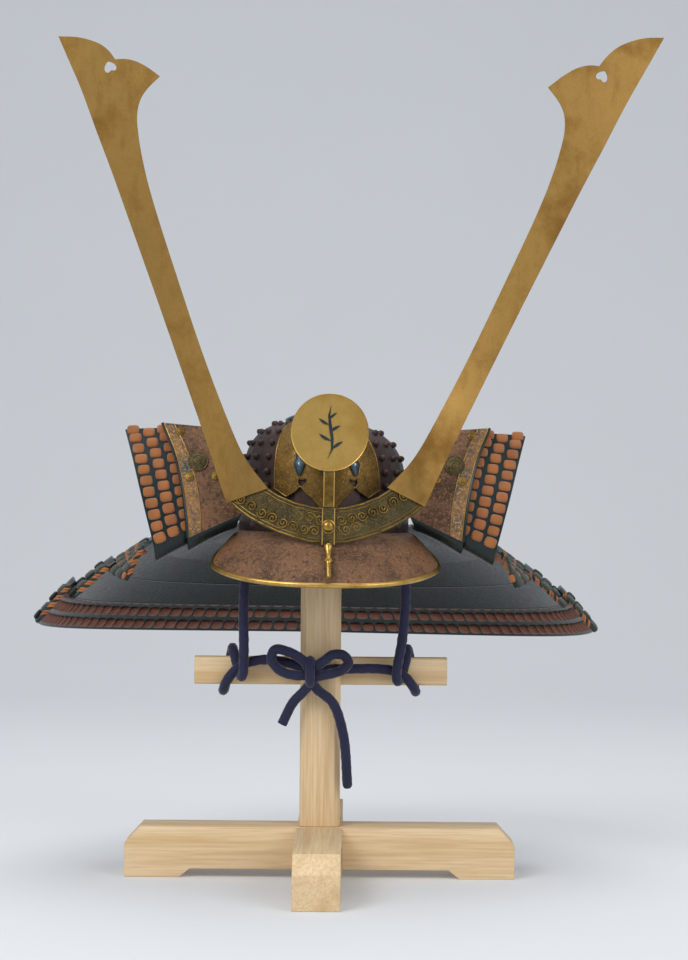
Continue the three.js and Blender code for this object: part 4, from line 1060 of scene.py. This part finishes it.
class KABUTO_OT_stand(bpy.types.Operator):
    """Adds the wooden stand: its two beams, the post and the bar"""
    bl_idname = "kabuto.stand"
    bl_label = "Wooden stand"

    def execute(self, context):
        edge = context.scene.kabuto_sizes.edge
        for node, along in (("base_beam_side", "x"), ("base_beam_front", "y"), ("post", "z"), ("cross_bar", "x")):
            dressed(f"{node}_wood", node, finish(f"wood_{along}"), edge)
        return {"FINISHED"}


class KABUTO_OT_bowl(bpy.types.Operator):
    """Adds the iron bowl of ridged plates, the band under it and the ring round its crown"""
    bl_idname = "kabuto.bowl"
    bl_label = "Bowl"

    def execute(self, context):
        b = BOWL
        shares = np.concatenate([np.linspace(1, 0.9, 12), np.linspace(0.87, b["hole"], 18)])

        def height(share, tall):
            return b["base"] + tall * (1 - share ** DOME["round"]) ** (1 / DOME["rise"])

        wide = 360 / PLATES["count"]
        angles, lips = [], []
        for k in range(PLATES["count"]):
            edge = (k + 0.5) * wide
            back = 1 if edge < 180 else -1
            for step, lip in ((0, 1), (0.35, 0.1), (1.2, 0.04), (4, 0), (8, 0.12), (12, 0.4), (14.2, 0.8)):
                angles.append(edge + back * step)
                lips.append(lip * PLATES["lip"])
        order = np.argsort(np.mod(angles, 360))
        angles, lips = np.mod(np.array(angles), 360)[order], np.array(lips)[order]
        profile = [(s, 0.0, True, height(s, b["height"])) for s in shares]
        profile += [(s, -b["wall"] * s, False, height(s, b["height"] - b["wall"])) for s in shares[::-1][::2]]
        x, y = np.sin(np.radians(angles)), -np.cos(np.radians(angles))
        points = []
        for share, out, lipped, z in profile:
            r = out + (lips if lipped else 0)
            points.append(np.stack([x * (b["half_width"] * share + r) + lean_at(z), y * (b["half_depth"] * share + r),
                                    np.full(len(x), z)], axis=-1))
        m, n = len(points), len(angles)
        faces = grid(m, n, wrap=True)
        faces += [[(m - 1) * n + j, (m - 1) * n + (j + 1) % n, (j + 1) % n, j] for j in range(n)]
        piece("bowl_plates", [(np.vstack(points), faces)], HELMET, finish("iron"), "iron", ["bowl"], 30)

        turn = np.radians(np.arange(0, 360, 3))
        d = BAND
        ring = [(0, d["low"]), (0.3, d["low"] - 0.2), (d["wall"] - 0.3, d["low"] - 0.2), (d["wall"], d["low"] + 0.4),
                (d["wall"], d["high"] - 0.5), (d["wall"] - 0.5, d["high"]), (0, d["high"])]
        rows = np.stack([np.stack([np.sin(turn) * (d["half_width"] + o), -np.cos(turn) * (d["half_depth"] + o),
                                   np.full(len(turn), float(z))], axis=-1) for o, z in ring])
        faces = grid(len(ring), len(turn), wrap=True)
        last = (len(ring) - 1) * len(turn)
        faces += [[last + j, last + (j + 1) % len(turn), (j + 1) % len(turn), j] for j in range(len(turn))]
        studs = []
        for side in (-1, 1):
            way = np.array([side * math.sin(math.radians(56)), -math.cos(math.radians(56)), 0])
            foot = (way[0] * (d["half_width"] + 2), way[1] * (d["half_depth"] + 2), 13)
            studs.append(turned([(5.4, -1), (5.4, 0.5), (4.6, 0.8), (4.2, 2.4), (2.6, 3.8), (0.8, 4.3)], 20, foot, way))
        piece("band_iron", [(rows.reshape(-1, 3), faces)] + studs, HELMET, finish("iron"), "iron", ["base_band"])

        ring = np.array(CROWN)
        turn = np.radians(np.arange(0, 360, 5))
        wave = 1 + 0.012 * np.cos(16 * turn)
        rows = np.stack([np.stack([np.sin(turn) * r * (wave if r > 30 else 1) + lean_at(z), -np.cos(turn) * r,
                                   np.full(len(turn), float(z))], axis=-1) for r, z in ring])
        faces = grid(len(ring), len(turn), wrap=True)
        last = (len(ring) - 1) * len(turn)
        faces += [[last + j, last + (j + 1) % len(turn), (j + 1) % len(turn), j] for j in range(len(turn))]
        piece("crown_metal", [(rows.reshape(-1, 3), faces)], HELMET, finish("steel"), "steel",
              ["crown_ring"])
        return {"FINISHED"}


class KABUTO_OT_bowl_rivets(bpy.types.Operator):
    """Adds the rows of rivets on the bowl's plates"""
    bl_idname = "kabuto.bowl_rivets"
    bl_label = "Bowl rivets"

    def execute(self, context):
        sizes = context.scene.kabuto_sizes
        wide = 360 / PLATES["count"]
        spots = []
        for k in range(RIVET_FIRST, PLATES["count"] - RIVET_FIRST + 1):
            for row, z in enumerate(RIVET_HEIGHTS):
                place = on_bowl(k * wide, z)
                side, above = on_bowl(k * wide + 1, z) - place, on_bowl(k * wide, z + 1) - place
                normal = unit(np.cross(side, above))
                share = 1 - 0.045 * row
                spots.append((to_world(HELMET, place + normal * 0.4), turned_way(side), turned_way(above), (share,) * 3))
        repeat("bowl_rivets", "rivet", spots, (sizes.rivet, sizes.rivet, sizes.rivet_height), finish("iron"),
               sizes.seed)
        return {"FINISHED"}


class KABUTO_OT_front_plate(bpy.types.Operator):
    """Adds the cusped plate over the brow, its beaded edges and its leaf-ended strips"""
    bl_idname = "kabuto.front_plate"
    bl_label = "Front plate"

    def execute(self, context):
        p = FRONT_PLATE
        cusp = np.array(CUSPS, float)
        angles = np.linspace(-p["reach"], p["reach"], 121)
        far = np.abs(BOWL["half_width"] * 0.97 * np.sin(np.radians(angles)))
        low = np.interp(far, cusp[:, 0], cusp[:, 1])
        s = np.concatenate([np.linspace(0, 0.3, 10)[:-1], np.linspace(0.3, 1, 22)])
        heights = low[:, None] + (p["top"] - low)[:, None] * s[None]
        rows = on_bowl(angles[:, None], heights, p["lift"])
        sheet = piece("front_plate_metal", [slab(rows, p["wall"])], HELMET, finish("gilt_plate"), "gilt",
                      ["front_plate"])
        hearts = [flat_plate([heart(side * HEART["x"], HEART["z"], HEART["size"])], 60) for side in (-1, 1)]
        cutter = piece("heart_cutter", [(pts + np.array([0, -100, 0]), f) for pts, f in hearts], HELMET,
                       finish("gilt_plate"), "gilt")
        hole = sheet.modifiers.new("hearts", "BOOLEAN")
        hole.operation, hole.solver, hole.object = "DIFFERENCE", "EXACT", cutter
        done = bpy.data.meshes.new_from_object(sheet.evaluated_get(context.evaluated_depsgraph_get()))
        sheet.modifiers.clear()
        sheet.data = done
        shaded(done, 40)
        bpy.data.objects.remove(cutter)

        top = p["lift"] + p["wall"]
        edge = on_bowl(angles, low + 0.6, top)
        beads = [tube(spline(edge[::2], 1.2), 0.85, 8)]
        for share in (0, -1):
            beads.append(tube(on_bowl(np.full(30, angles[share] * 0.985), np.linspace(low[share], p["top"], 30), top), 0.8, 8))
        for side in (-1, 1):
            loop = heart(side * HEART["x"], HEART["z"], HEART["size"] + 2.2)
            ring = np.array([on_bowl(angle_at(x, z), z, top) for x, z in loop])
            beads.append(tube(ring, 0.75, 8, closed=True))
        piece("front_plate_beads", beads, HELMET, finish("bright_bronze"), "gilt")

        outline = np.array(LEAF_OUTLINE, float)
        for name, angle, tip, wide in LEAVES:
            up = np.concatenate([np.linspace(0, 20, 21), np.linspace(22, 56, 12)])
            half = np.interp(up, outline[:, 0], outline[:, 1]) * wide
            z = tip + up
            reach = np.degrees(half / np.linalg.norm(on_bowl(0, z), axis=-1) * 1.1)
            across = np.linspace(-1, 1, 7)
            lift = 5.2 + 0.8 * (1 - across ** 2)
            rows = on_bowl(angle + reach[:, None] * across[None], z[:, None], lift[None])
            spots = [on_bowl(angle, tip + 11.5, 6.4)] if name != "centre" else [
                on_bowl(angle + t, tip + 12, 5.8) for t in (-4.6, 4.6)]
            way = on_bowl(angle, tip + 11.5, 9) - on_bowl(angle, tip + 11.5, 3)
            piece(f"front_leaf_{name}_metal", [slab(rows, -1.2)], HELMET, finish("steel"), "steel",
                  [f"front_leaf_{name}"])
            heads = [turned([(1.9, -0.6), (1.9, 0.3), (1.3, 1.2), (0.5, 1.6)], 12, spot, way) for spot in spots]
            piece(f"front_leaf_{name}_rivets", heads, HELMET, finish("silver"), "steel")
        return {"FINISHED"}


class KABUTO_OT_visor(bpy.types.Operator):
    """Adds the leather-covered visor, its edge band and its gilt rim"""
    bl_idname = "kabuto.visor"
    bl_label = "Visor"

    def execute(self, context):
        rows = visor_rows()
        piece("visor_leather", [slab(rows, -VISOR["wall"])], HELMET, finish("leather"), "leather", ["visor"])
        edge, inner = rows[:, -1], rows[:, -2]
        run = unit(np.gradient(edge, axis=0))
        out = edge - inner
        out = unit(out - run * (out * run).sum(axis=1, keepdims=True))
        rim = edge + out * (VISOR_RIM["radius"] + 0.2)
        rim[:, 2] += VISOR["wall"] / 2
        piece("visor_rim_gilt", [tube(even(rim, 2), VISOR_RIM["radius"], 14)], HELMET, finish("gilt"), "gilt",
              ["visor_rim"])
        fine = visor_rows(1.5, 41)
        band = fine[:, 35:]
        piece("visor_edge_band", [slab(band, -0.5, 0.0)], HELMET, finish("border"), "leather")
        seam = even(fine[:, 34], 2) + np.array([0, 0, 0.2])
        piece("visor_seam", [tube(seam, 1.1, 8)], HELMET, finish("leather"), "leather")
        return {"FINISHED"}


class KABUTO_OT_crest(bpy.types.Operator):
    """Adds the crest's engraved base, strap, rivet, prong, stem and disc with its sprig"""
    bl_idname = "kabuto.crest"
    bl_label = "Crest"

    def execute(self, context):
        sizes = context.scene.kabuto_sizes
        table = np.array(CRESCENT, float)
        both = np.vstack([table[:0:-1] * np.array([-1, 1, 1]), table])
        x = np.arange(-104, 104.1, 2)
        low, high = np.interp(x, both[:, 0], both[:, 1]), np.interp(x, both[:, 0], both[:, 2])
        s = np.linspace(0, 1, 9)
        z = low[:, None] + (high - low)[:, None] * s[None]
        rows = np.stack([np.broadcast_to(x[:, None], z.shape), np.broadcast_to(crest_depth(x)[:, None], z.shape), z],
                        axis=-1)
        piece("crest_base_metal", [slab(rows, CREST_WALL)], HELMET, finish("bronze"), "bronze", ["crest_base"])
        face = rows + normals(rows) * CREST_WALL
        beads = []
        for share in (0.035, 0.965, 0.13, 0.87):
            z = low + (high - low) * share
            line = np.stack([x, crest_depth(x) - CREST_WALL - 0.3, z], axis=-1)
            beads.append(tube(even(line, 2), 0.9 if share in (0.035, 0.965) else 0.5, 6))
        piece("crest_base_beads", beads, HELMET, finish("bright_bronze"), "bronze")
        spots = []
        for k, centre in enumerate(np.arange(-90, 90.1, 11.2)):
            if abs(centre) < 9:
                continue
            middle = np.interp(centre, x, (low + high) / 2)
            tall = np.interp(centre, x, high - low)
            size = min(1.0, tall / 38)
            for lift, turn in ((0.16, 1), (-0.16, -1)):
                spot = np.array([centre + 3 * turn, crest_depth(np.array(centre)) - CREST_WALL - 0.3,
                                 middle + lift * tall])
                slope = 2 * CREST["bend"] * min(95, abs(centre)) * np.sign(centre)
                along = np.array([turn, slope * turn, 0.0])
                across = np.array([0.0, 0.0, (1 if k % 2 else -1) * turn])
                spots.append((to_world(HELMET, spot), turned_way(along), turned_way(across), (size,) * 3))
        repeat("crest_base_scrolls", "scroll", spots, (0.012, 0.012, 0.008), finish("bright_bronze"),
               sizes.seed)

        front = CREST["front"] - CREST_WALL - GAP
        dressed("crest_strap_metal", "crest_strap", finish("bronze"), 0.0005)
        for name, half, z_low, z_high, back in (("strap", 6.4, -6.4, 32.4, front - 1.4), ("stem", 5.4, 34.2, 95, front - 1.8)):
            sides = [tube(np.array([(side * half, back - 0.1, z_low), (side * half, back - 0.1, z_high)]), 0.8, 8)
                     for side in (-1, 1)]
            piece(f"crest_{name}_borders", sides, HELMET, finish("gilt"), "gilt")
        dome = [(7.4, 0), (7.4, 0.7), (6.4, 1.0), (6.1, 2.2), (5.2, 3.7), (3.4, 4.8), (1.4, 5.3)]
        piece("crest_rivet_gilt", [turned(dome, 32, (0, front - 1.7, 13), (0, -1, 0))], HELMET, finish("bright_brass"),
              "gilt", ["crest_rivet"])
        top, end = np.array([0, -138.0, -7]), np.array([0, -164.0, -40])
        length = np.linalg.norm(end - top)
        prong = [(3.4, 0), (5.0, 0.02), (5.4, 0.06), (4.6, 0.11), (3.6, 0.2), (3.2, 0.38), (3.4, 0.42), (4.9, 0.45),
                 (5.0, 0.5), (3.4, 0.54), (3.1, 0.6), (3.1, 0.9), (2.4, 0.98), (1.0, 1.0)]
        piece("crest_prong_gilt", [turned([(r, h * length) for r, h in prong], 20, top, end - top)], HELMET,
              finish("bright_brass"), "gilt", ["crest_prong"])
        dressed("crest_stem_gilt", "crest_stem", finish("bright_bronze"), 0.0004)
        back = front - 1.8 - 0.3
        r = DISC["radius"]
        disc = [(r - 1, 0), (r, 0.4), (r, 2.4), (r - 0.4, 2.8), (r - 1.0, 2.7), (r - 1.4, 2.15), (r - 3, 2.05),
                (r * 0.6, 2.25), (r * 0.2, 2.35)]
        piece("crest_disc_gilt", [turned(disc, 128, (0, back, DISC["z"]), (0, -1, 0))], HELMET, finish("disc"), "gilt",
              ["crest_disc"], 50)
        dressed("crest_sprig", "crest_sign", finish("dark_steel"), 0.0003)
        return {"FINISHED"}


def horn_parts(shape):
    """A horn on the right-hand side, with its heart-shaped eye, curved like the crest's sheets."""
    tilt, neck, head = math.radians(shape["tilt"]), shape["neck"], shape["head"]
    base = HORN["head_base"]

    def stretch(up):
        return up * neck if up < base else base * neck + (up - base) * head

    def placed(x, up):
        return (HORN["seat_x"] + x * math.cos(tilt) + up * math.sin(tilt),
                HORN["seat_z"] + up * math.cos(tilt) - x * math.sin(tilt))

    loop = []
    for stretch_of in (HORN_INNER, HORN_TOP, HORN_TIP, HORN_OUTER):
        line = spline([placed(x, stretch(up)) for x, up in stretch_of], 4)
        loop += line.tolist()[:-1]
    loop.append(placed(*HORN_OUTER[-1]))
    eye = placed(HORN_HEART["x"], stretch(HORN_HEART["up"]))
    turned_heart = []
    for x, z in heart(0, 0, HORN_HEART["size"], -1):
        turned_heart.append((eye[0] + x * math.cos(tilt) + z * math.sin(tilt),
                             eye[1] + z * math.cos(tilt) - x * math.sin(tilt)))
    points, faces = sliced(*flat_plate([loop, turned_heart], HORN["wall"]), 5)
    points[:, 1] += crest_depth(points[:, 0]) - HORN["seat_gap"] - HORN["wall"] / 2
    return points, faces


class KABUTO_OT_horns(bpy.types.Operator):
    """Adds the two tall brass horns"""
    bl_idname = "kabuto.horns"
    bl_label = "Horns"

    def execute(self, context):
        points, faces = horn_parts(HORN_LEFT)
        piece("horn_left_brass", [(points * np.array([-1, 1, 1]), faces)], HELMET, finish("brass"), "brass",
              ["horn_left"], 30)
        piece("horn_right_brass", [horn_parts(HORN_RIGHT)], HELMET, finish("brass"), "brass", ["horn_right"], 30)
        return {"FINISHED"}


class KABUTO_OT_neck_guard(bpy.types.Operator):
    """Adds the lacquered lames of the neck guard with their dark rims"""
    bl_idname = "kabuto.neck_guard"
    bl_label = "Neck guard"

    def execute(self, context):
        black = finish("lacquer")
        for lame in UPPER_LAMES:
            rows = upper_rows(lame)
            piece(f"{lame['name']}_lacquer", [slab(rows, LAME_WALL)], HELMET, black, "lacquer", [lame["name"]])
        for lame in LOWER_LAMES:
            rows = lower_rows(lame)
            piece(f"{lame['name']}_lacquer", [slab(rows, LAME_WALL)], HELMET, black, "lacquer", [lame["name"]])
            middle = rows + normals(rows) * LAME_WALL / 2
            edge = np.vstack([middle[0, ::-1], middle[:, 0], middle[-1]])
            border = np.vstack([middle[0], middle[:, -1], middle[-1, ::-1]])
            piece(f"{lame['name']}_rim", [tube(even(border, 3), 2.0, 8)], HELMET, black, "lacquer")
            for word, end, side in (("left", middle[0], -1), ("right", middle[-1], 1)):
                line = even(end[1:-1], 1.2)
                u, v = line_frames(line)
                turn = np.linspace(0, long(line) / 11 * 2 * np.pi, len(line))[:, None]
                for k, shade in enumerate(("edging", "dark_edging", "edging")):
                    phase = turn + k * 2 * np.pi / 3
                    strand = line + 1.9 * (np.cos(phase) * u + np.sin(phase) * v)
                    piece(f"{lame['name']}_edging_{word}_{k}", [tube(strand, 1.25, 6)], HELMET, finish(shade),
                          "lacquer")
        return {"FINISHED"}


class KABUTO_OT_lacing(bpy.types.Operator):
    """Adds the rows of lacing: green outside the lames, brown inside the lowest, bright on the ends"""
    bl_idname = "kabuto.lacing"
    bl_label = "Lacing"

    def execute(self, context):
        sizes = context.scene.kabuto_sizes
        block = (sizes.block_width, sizes.block_height, sizes.block_depth)
        out = LAME_WALL + 0.6
        for lame in UPPER_LAMES:
            rows = upper_rows(lame)[30:-30]
            spots = []
            for k, share in enumerate((0.2, 0.46, 0.72)):
                spots += row_spots(rows, share, 13.6, out, 2, offset=(k % 2) * 6.8)
            repeat(f"{lame['name']}_lacing", "block", spots, block, finish("green"), sizes.seed)
        for lame in LOWER_LAMES:
            rows = lower_rows(lame)
            spots = []
            for k, share in enumerate((0.3, 0.52, 0.74, 0.93)):
                spots += row_spots(rows, share, 14.2, out, 4, offset=(k % 2) * 7.1 - 3.5)
            repeat(f"{lame['name']}_lacing", "block", spots, block, finish("green"), sizes.seed)
        rows = lower_rows(LOWER_LAMES[-1])
        spots = []
        for share in (0.27, 0.56, 0.86):
            spots += row_spots(rows, share, 16.0, -0.5, 5, narrow=0.3, reach=130)
        ends = []
        for rows in (lower_rows(LOWER_LAMES[0])[:20], lower_rows(LOWER_LAMES[0])[-20:]):
            for share in (0.42, 0.6, 0.78, 0.93):
                ends += row_spots(rows, share, 6.4, LAME_WALL / 2, 3)
        repeat("lame_3_end_lacing", "block", ends, (0.006, 0.0095, 0.006), finish("lacing"), sizes.seed)
        repeat("lame_5_inner_lacing", "block", spots, (0.0132, 0.0125, 0.0036), finish("brown"), sizes.seed)
        return {"FINISHED"}


class KABUTO_OT_turnbacks(bpy.types.Operator):
    """Adds the turned-up panels: bright lacing, leather faces, borders, bosses and rosettes"""
    bl_idname = "kabuto.turnbacks"
    bl_label = "Turnbacks"

    def execute(self, context):
        sizes = context.scene.kabuto_sizes
        for side, word in ((-1, "left"), (1, "right")):
            rows = turnback_rows(UPPER_LAMES[1], side)
            spots = []
            for share in (0.83, 0.515, 0.2):
                for place, along, across, part in row_spots(rows, share, 13.0, 1.0 * side, 1):
                    spots.append((place, across, along, part))
            front = np.array(HELMET)[:3, :3] @ np.array([0, -1.6, 0])
            spots = [(p + front * 1.0, a, c, s) for p, a, c, s in spots]
            repeat(f"turnback_lacing_{word}", "block", spots, (0.0124, 0.0104, 0.0036), finish("lacing"),
                   sizes.seed)
            rows = turnback_rows(UPPER_LAMES[0], side)
            lifted = rows + normals(rows) * (-0.7 * side)
            piece(f"turnback_leather_{word}", [slab(lifted, -1.4 * side)], HELMET, finish("leather"), "leather",
                  [f"turnback_facing_{word}"])
            fine = turnback_rows(UPPER_LAMES[0], side)
            s = np.linspace(0.76, 0.97, 5)
            at = s * (fine.shape[1] - 1)
            band = np.stack([fine[:, int(a)] * (1 - a % 1) + fine[:, min(int(a) + 1, 8)] * (a % 1) for a in at], axis=1)
            piece(f"turnback_border_{word}", [slab(band + normals(band) * (-2.2 * side), -0.4 * side)], HELMET,
                  finish("border"), "leather")
            outward = normals(rows) * (-1.5 * side)
            rim = np.vstack([(rows + outward)[:, 0][::-1], (rows + outward)[0, 1:]])
            piece(f"turnback_rim_{word}", [tube(even((rows + outward)[:, 0], 2), 1.8, 8),
                                           tube(even((rows + outward)[:, -1], 2), 1.6, 8)], HELMET,
                  finish("lacquer"), "lacquer")
            lines = [tube(even((band + normals(band) * (-2.6 * side))[:, j], 2), 0.5, 6) for j in (0, -1)]
            piece(f"turnback_lines_{word}", lines, HELMET, finish("gilt"), "gilt")
            low, high = (Vector(v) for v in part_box(f"boss_{word}"))
            centre = (low + high) / 2
            normal = Vector(turned_way(-side * normals(rows)[30, 4])).normalized()
            foot = np.array(HELMET.inverted() @ (centre - normal * 0.0016))
            way = np.array(HELMET.inverted().to_3x3() @ normal)
            boss = [(11.3, 0), (11.3, 1.0), (10.4, 1.5), (9.6, 1.3), (9.0, 1.9), (6.0, 3.0), (5.2, 2.6), (4.6, 3.1), (1.5, 3.4)]
            piece(f"boss_{word}_bronze", [turned(boss, 64, foot, way, 16, 0.035)], HELMET, finish("bronze"), "bronze",
                  [f"boss_{word}"])
            for level in ("low", "middle", "top"):
                low, high = (Vector(v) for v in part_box(f"rosette_{level}_{word}"))
                centre = (low + high) / 2
                foot = np.array(HELMET.inverted() @ (centre - normal * 0.001))
                head = [(4.7, 0), (4.7, 0.5), (3.8, 1.1), (2.2, 1.0), (2.0, 1.7), (0.6, 2.1)]
                piece(f"rosette_{level}_{word}_gilt", [turned(head, 40, foot, way, 8, 0.16)], HELMET,
                      finish("bright_bronze"), "gilt", [f"rosette_{level}_{word}"])
        return {"FINISHED"}


STEPS = (KABUTO_OT_stage, KABUTO_OT_chin_cord, KABUTO_OT_stand, KABUTO_OT_bowl, KABUTO_OT_bowl_rivets,
         KABUTO_OT_front_plate, KABUTO_OT_visor, KABUTO_OT_crest, KABUTO_OT_horns, KABUTO_OT_neck_guard,
         KABUTO_OT_lacing, KABUTO_OT_turnbacks)


class KABUTO_PT_panel(bpy.types.Panel):
    """Lists the helmet's sizes, colours and steps"""
    bl_idname = "KABUTO_PT_panel"
    bl_label = "Kabuto"
    bl_space_type = "VIEW_3D"
    bl_region_type = "UI"
    bl_category = "Kabuto"

    def draw(self, context):
        for group in (context.scene.kabuto_sizes, context.scene.kabuto_colours):
            box = self.layout.box()
            for key in group.__annotations__:
                box.prop(group, key)
        for step in STEPS:
            self.layout.operator(step.bl_idname)


CLASSES = (KabutoColours, KabutoSizes, *STEPS, KABUTO_PT_panel)


def register():
    for cls in CLASSES:
        bpy.utils.register_class(cls)
    bpy.types.Scene.kabuto_colours = PointerProperty(type=KabutoColours)
    bpy.types.Scene.kabuto_sizes = PointerProperty(type=KabutoSizes)


def unregister():
    del bpy.types.Scene.kabuto_sizes
    del bpy.types.Scene.kabuto_colours
    for cls in reversed(CLASSES):
        bpy.utils.unregister_class(cls)


def main():
    register()
    for step in STEPS:
        group, name = step.bl_idname.split(".")
        getattr(getattr(bpy.ops, group), name)()


if __name__ == "__main__":
    main()
